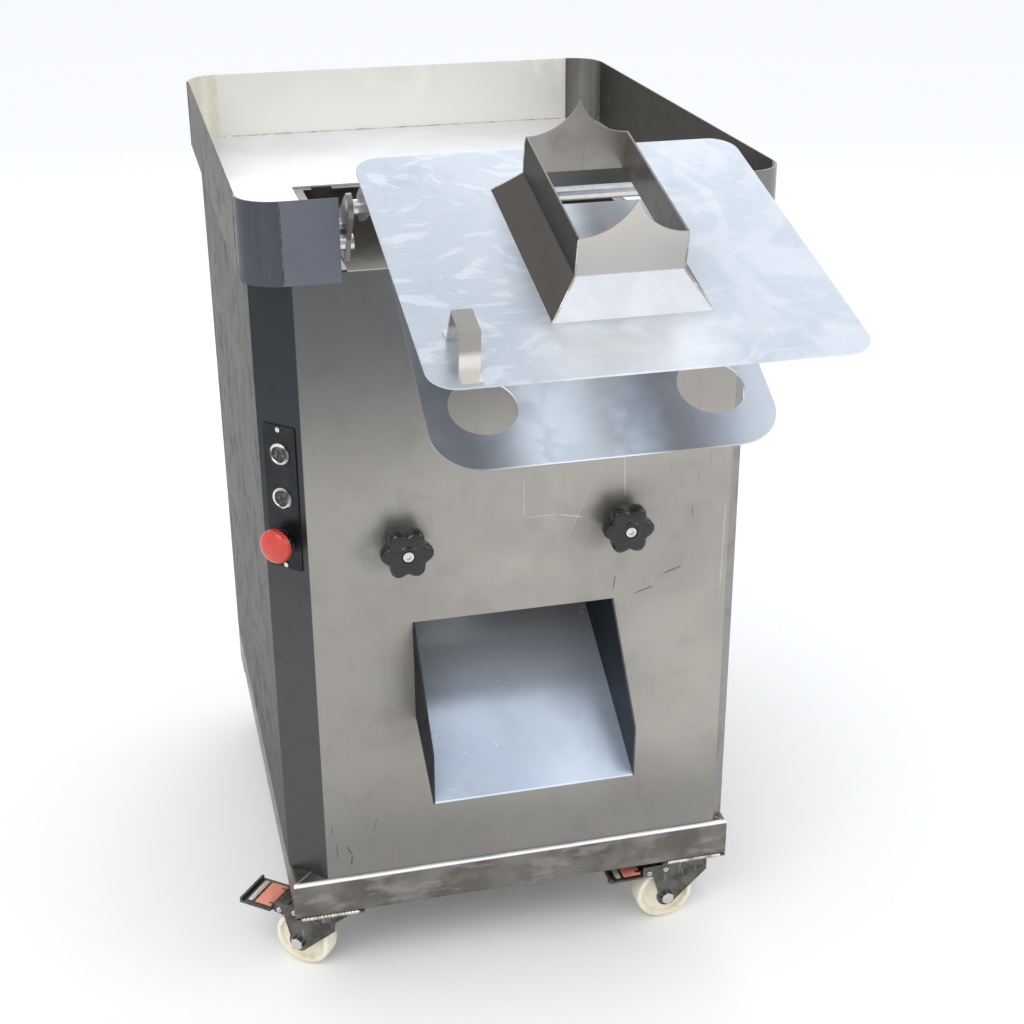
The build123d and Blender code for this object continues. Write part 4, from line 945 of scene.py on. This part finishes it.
def tray_corner_finish():
    """The corner pieces, with painted light and shade: cream at the back left, grey with streaks at the back
    right, blue-grey in front.
    """
    corner = brushed("tray_corner_sheet", (linear(104, 101, 97), linear(124, 121, 116)), 0.30, (1, 1, 60))
    x, y = corner.axis("X"), corner.axis("Y")
    back, left = y.rise(0.0, 0.01), x.rise(0.0, -0.01)
    across, ahead = x + corner_x, y - (back_y - corner_radius)
    middle = (corner_radius - 0.001) ** 2
    inside = (across * across + ahead * ahead).rise(middle + 0.00002, middle - 0.00002)
    cream = back * left * inside
    streak = corner.cloud(0.006, (1, 1, 40), 2.0).rise(0.4, 0.7)
    tone = corner.mix(streak * 0.4, corner.tone, linear(148, 147, 144))
    # Painted light and shade: blue-grey shade at the front left, grey at the front right, and cream light
    # inside the back left corner.
    tone = corner.mix((1 - back) * left * 0.85, tone, linear(66, 72, 81))
    tone = corner.mix((1 - back) * (1 - left) * 0.7, tone, linear(134, 133, 131))
    tone = corner.mix(cream * 0.9, tone, linear(238, 233, 216))
    corner.join(0.8 - 0.45 * cream, "Metallic")
    return corner.set(tone, corner.rough)


def seam_finish():
    """A ground seam that kept some brown heat tint."""
    seam = Finish("ground_seam", metal=0.8, rough=0.35)
    tint = seam.cloud(0.010).rise(0.35, 0.65)
    return seam.set(seam.mix(tint, linear(118, 116, 113), linear(84, 76, 66)), 0.3 + 0.2 * tint)


wear(["tray_floor"], tray_floor_finish())
wear(["tray_walls"], tray_wall_finish())
wear(["tray_corners"], tray_corner_finish())
seam = seam_finish()
seam_low, seam_high = 0.900, 0.9847
seam_radius, seam_pitch, seam_sunk = 0.0007, 0.0018, 0.0001
for side in (-1, 1):
    for end, wall_y in ((-1, front_y), (1, back_y)):
        starts = {
            "end": (side * corner_x, wall_y - end * seam_sunk, seam_low),
            "side": (side * (wall_x - seam_sunk), wall_y - end * corner_radius, seam_low),
        }
        for wall, start in starts.items():
            stop = (start[0], start[1], seam_high)
            seam_name = f"wall_seam_{wall}_{corner_name(side, end)}"
            bead(seam_name, start, stop, seam_radius, seam_pitch, "cabinet", seam, (1, 0, 0))
floor_seam_y, floor_high = back_y - 0.0026, 0.9005
floor_seam_ends = [(side * corner_x, floor_seam_y, floor_high) for side in (-1, 1)]
bead("floor_seam_back", *floor_seam_ends, 0.0014, 0.0600, "cabinet", weld)

# Feed well and cutter: the well is welded from sheet below the opening. Two toothed rolls turn in
# bronze bushes between end plates, with stripper combs beside them and gears and a belt behind.


def machined(name, first, second, rough, metal):
    """Two tones in a soft haze, with the fine rings that turning, a brush or a mould leaves."""
    part = Finish(name, metal=metal, rough=rough)
    haze = part.cloud(0.02, detail=5.0).rise(0.35, 0.7)
    rings = part.cloud(0.0009, (1, 30, 1), 2.0)
    return part.set(part.mix(haze, first, second), rough - 0.06 + 0.14 * haze, rings, 0.0001, 0.3)


# The well's sheet is painted dark as painted shade, for the inside of the well under the lid.
well_sheet = brushed("well_sheet", (linear(86, 83, 78), linear(106, 102, 96)), 0.34, (40, 1, 40), 0.7)
wear(["feed_well"], well_sheet)
roll_steel = machined("roll_steel", linear(160, 160, 160), linear(196, 196, 196), 0.26, 1.0)
rolls = [f"{part}_{side}" for part in ("roll_discs", "roll_shaft", "gear") for side in ("left", "right")]
wear(rolls + ["stripper_combs", "cutter_tie_bars"], roll_steel)
plate_alloy = machined("end_plate_aluminium", linear(170, 171, 174), linear(194, 195, 198), 0.38, 0.9)
wear(["cutter_end_plates"], plate_alloy)
wear(["roll_bushes"], machined("bush_bronze", linear(172, 132, 74), linear(196, 156, 96), 0.32, 1.0))
pulley_iron = machined("pulley_iron", linear(84, 84, 86), linear(112, 112, 114), 0.45, 0.8)
wear(["drive_pulley", "motor_pulley"], pulley_iron)
wear(["drive_supports"], plain_sheet)
wear(["motor"], machined("motor_paint", linear(84, 92, 100), linear(104, 112, 120), 0.5, 0.0))
wear(["drive_belt", "cable_gland"], machined("belt_rubber", linear(24, 24, 24), linear(44, 44, 44), 0.7, 0.0))

# Hinge: a polished bar across the tray's front notch, through two bracket plates that are bolted
# to the tray's returns through spacers.
wear(["hinge_bar"], bright)
bracket_steel = brushed("bracket_sheet", (linear(118, 116, 113), linear(150, 148, 144)), 0.32, (1, 1, 60))
wear(["hinge_brackets"], bracket_steel)

# Funnel lid: a flat plate with a flared funnel welded into it, a bent catch loop near one corner
# and two arms to the hinge bar. Its pale bluish colour is a painted reflection of the sky; washing has left
# streaks, and it has fine scratches.
bar_y, bar_z = -0.394, 0.979
lid_swing = 195.5
lid_open, lid_tilt = radians(lid_swing), radians(lid_swing - 180)
lid_reach, lid_drop = 0.052, 0.0797
lid_y = bar_y + lid_reach * cos(lid_open) + lid_drop * sin(lid_open)
lid_z = bar_z + lid_reach * sin(lid_open) - lid_drop * cos(lid_open)
lid_place = Matrix.Translation((0.0, lid_y, lid_z)) @ Matrix.Rotation(lid_tilt, 4, "X")
throat_half, throat_v0, throat_v1 = 0.047, 0.095, 0.271
flare_out, flare_high, corner_high = 0.0225, 0.028, 0.063


def lid_axes(sheet):
    """On the lid: how far out from its hinge edge, and how high over its funnel side."""
    y, z = sheet.axis("Y"), sheet.axis("Z")
    along = (lid_y - y) * cos(lid_tilt) + (lid_z - z) * sin(lid_tilt)
    high = (z - lid_z) * cos(lid_tilt) - (y - lid_y) * sin(lid_tilt)
    return along, high


def lid_finish():
    """Pale bluish sheet as a painted sky reflection, painted dimmer at the left and brighter at the right,
    with a painted light patch in front of the funnel, and with washed smears and scuffs along it.
    """
    # Painted reflection of the sky: the lid's pale bluish tones.
    tones = (linear(196, 203, 213), linear(212, 219, 229))
    lid = brushed("lid_sheet", tones, 0.34, (1.5, 60, 60), metal=0.75)
    x = lid.axis("X")
    blotch = lid.cloud(0.07, (1, 1.6, 1), 5.0, seed=(1, 6, 2), ripple=1.8).rise(0.42, 0.66)
    wash = lid.cloud(0.045, (1.3, 1, 1), 6.0, seed=(4, 1, 8), ripple=2.4).rise(0.54, 0.62)
    scuff = lid.cloud(0.004, (14, 1, 1), 3.0, (0, 0, 0.9), (5, 5, 5)).rise(0.56, 0.84)
    # Painted reflection: dimmer at the left, brighter at the right.
    tone = lid.mix(x.rise(0.02, -0.17) * 0.6, lid.tone, linear(168, 176, 186))
    tone = lid.mix(x.rise(0.06, 0.17) * 0.7, tone, linear(222, 228, 238))
    tone = lid.mix(blotch * 0.4, tone, linear(182, 192, 205))
    tone = lid.mix(wash * 0.35, tone, linear(226, 231, 238))
    tone = lid.mix(scuff * 0.3, tone, linear(236, 240, 246))
    along = lid_axes(lid)[0]
    # Painted light: a brighter patch on the lid in front of the funnel, where the funnel's shadow falls.
    ahead = along.rise(0.285, 0.305) * along.rise(0.42, 0.33) * x.rise(-0.11, -0.06) * x.rise(0.08, 0.02)
    tone = lid.mix(ahead * 0.65, tone, linear(248, 251, 255))
    return lid.set(tone, lid.rough + 0.08 * blotch, lid.height + scuff, 0.00006, 0.3)


def funnel_finish():
    """Funnel sheets: warm grey, with painted shade dark on the left outside, painted light pale in front and
    nearly white on its flare.
    """
    glance = (0.5, 0.5, 0.5, 1.0)
    tones = (linear(140, 134, 128), linear(162, 157, 151))
    funnel = brushed("funnel_sheet", tones, 0.32, (1, 1, 60), Specular_Tint=glance)
    x = funnel.axis("X")
    along, high = lid_axes(funnel)
    ahead = along - throat_v1
    beside = -1.0 * x - throat_half
    left = (beside - ahead).rise(-0.0002, 0.0002) * beside.rise(-0.0009, -0.0003)
    front = (ahead - beside).rise(-0.0002, 0.0002) * ahead.rise(-0.0009, -0.0003)
    flare = front * high.rise(flare_high + 0.0012, flare_high)
    smear = funnel.cloud(0.03, detail=5.0, ripple=1.5).rise(0.4, 0.6)
    # Painted shade on the left outside; painted light on the front face and, nearly white, on its flare.
    tone = funnel.mix(left, funnel.tone, linear(88, 83, 79))
    tone = funnel.mix(front, tone, linear(196, 191, 185))
    tone = funnel.mix(flare, tone, linear(222, 226, 233))
    tone = funnel.mix(flare * smear * 0.35, tone, linear(214, 214, 214))
    return funnel.set(tone, funnel.rough)


def loop_finish():
    """The catch loop: cream, and darker over its bend."""
    loop = brushed("loop_sheet", (linear(212, 206, 197), linear(228, 224, 217)), 0.3, (1, 1, 60))
    high = lid_axes(loop)[1]
    tone = loop.mix(high.rise(0.014, 0.022) * 0.8, loop.tone, linear(128, 125, 120))
    return loop.set(tone, loop.rough)


def lid_point(x, v, h):
    """A point of the lid: v from its hinge edge outwards, h out of the funnel side."""
    return tuple(lid_place @ Vector((x, -v, h)))


wear(["lid_plate"], lid_finish())
wear(["lid_funnel"], funnel_finish())
wear(["lid_catch_loop"], loop_finish())
wear(["lid_arms", "cover_tabs"], bracket_steel)
flare_seam, throat_seam = (0.0008, 0.0022), (0.0007, 0.0020)
for side in (-1, 1):
    for v, out in ((throat_v0, -1), (throat_v1, 1)):
        mark = f"{'left' if side < 0 else 'right'}_{'near' if out < 0 else 'far'}"
        foot = lid_point(side * (throat_half + flare_out), v + out * flare_out, 0.0)
        knee = lid_point(side * throat_half, v, flare_high)
        top = lid_point(side * throat_half, v, corner_high - 0.0006)
        bead(f"flare_seam_{mark}", foot, knee, *flare_seam, "lid", weld, (0, 1, 0))
        bead(f"throat_seam_{mark}", knee, top, *throat_seam, "lid", weld, (0, 1, 0))

# Cover: a flat plate of the same sheet with two finger holes, cut out in one piece. Two tabs hold
# it on the hinge bar, and here it hangs below the open lid.


def cover_finish():
    """Grey, with a bright bluish reflection of the sky down its middle and along its right side."""
    tones = (linear(144, 145, 149), linear(162, 164, 169))
    cover = brushed("cover_sheet", tones, 0.32, (60, 1.5, 60), metal=0.7)
    x = cover.axis("X")
    drift = x + 0.03 * cover.cloud(0.09, detail=3.0, ripple=1.5)
    middle = drift.rise(-0.12, -0.04) * drift.rise(0.075, 0.025)
    right = drift.rise(0.080, 0.15)
    tone = cover.mix(middle, cover.tone, linear(232, 241, 252))
    tone = cover.mix(right * 0.8, tone, linear(226, 233, 243))
    return cover.set(tone, cover.rough)


wear(["cover_plate"], cover_finish())
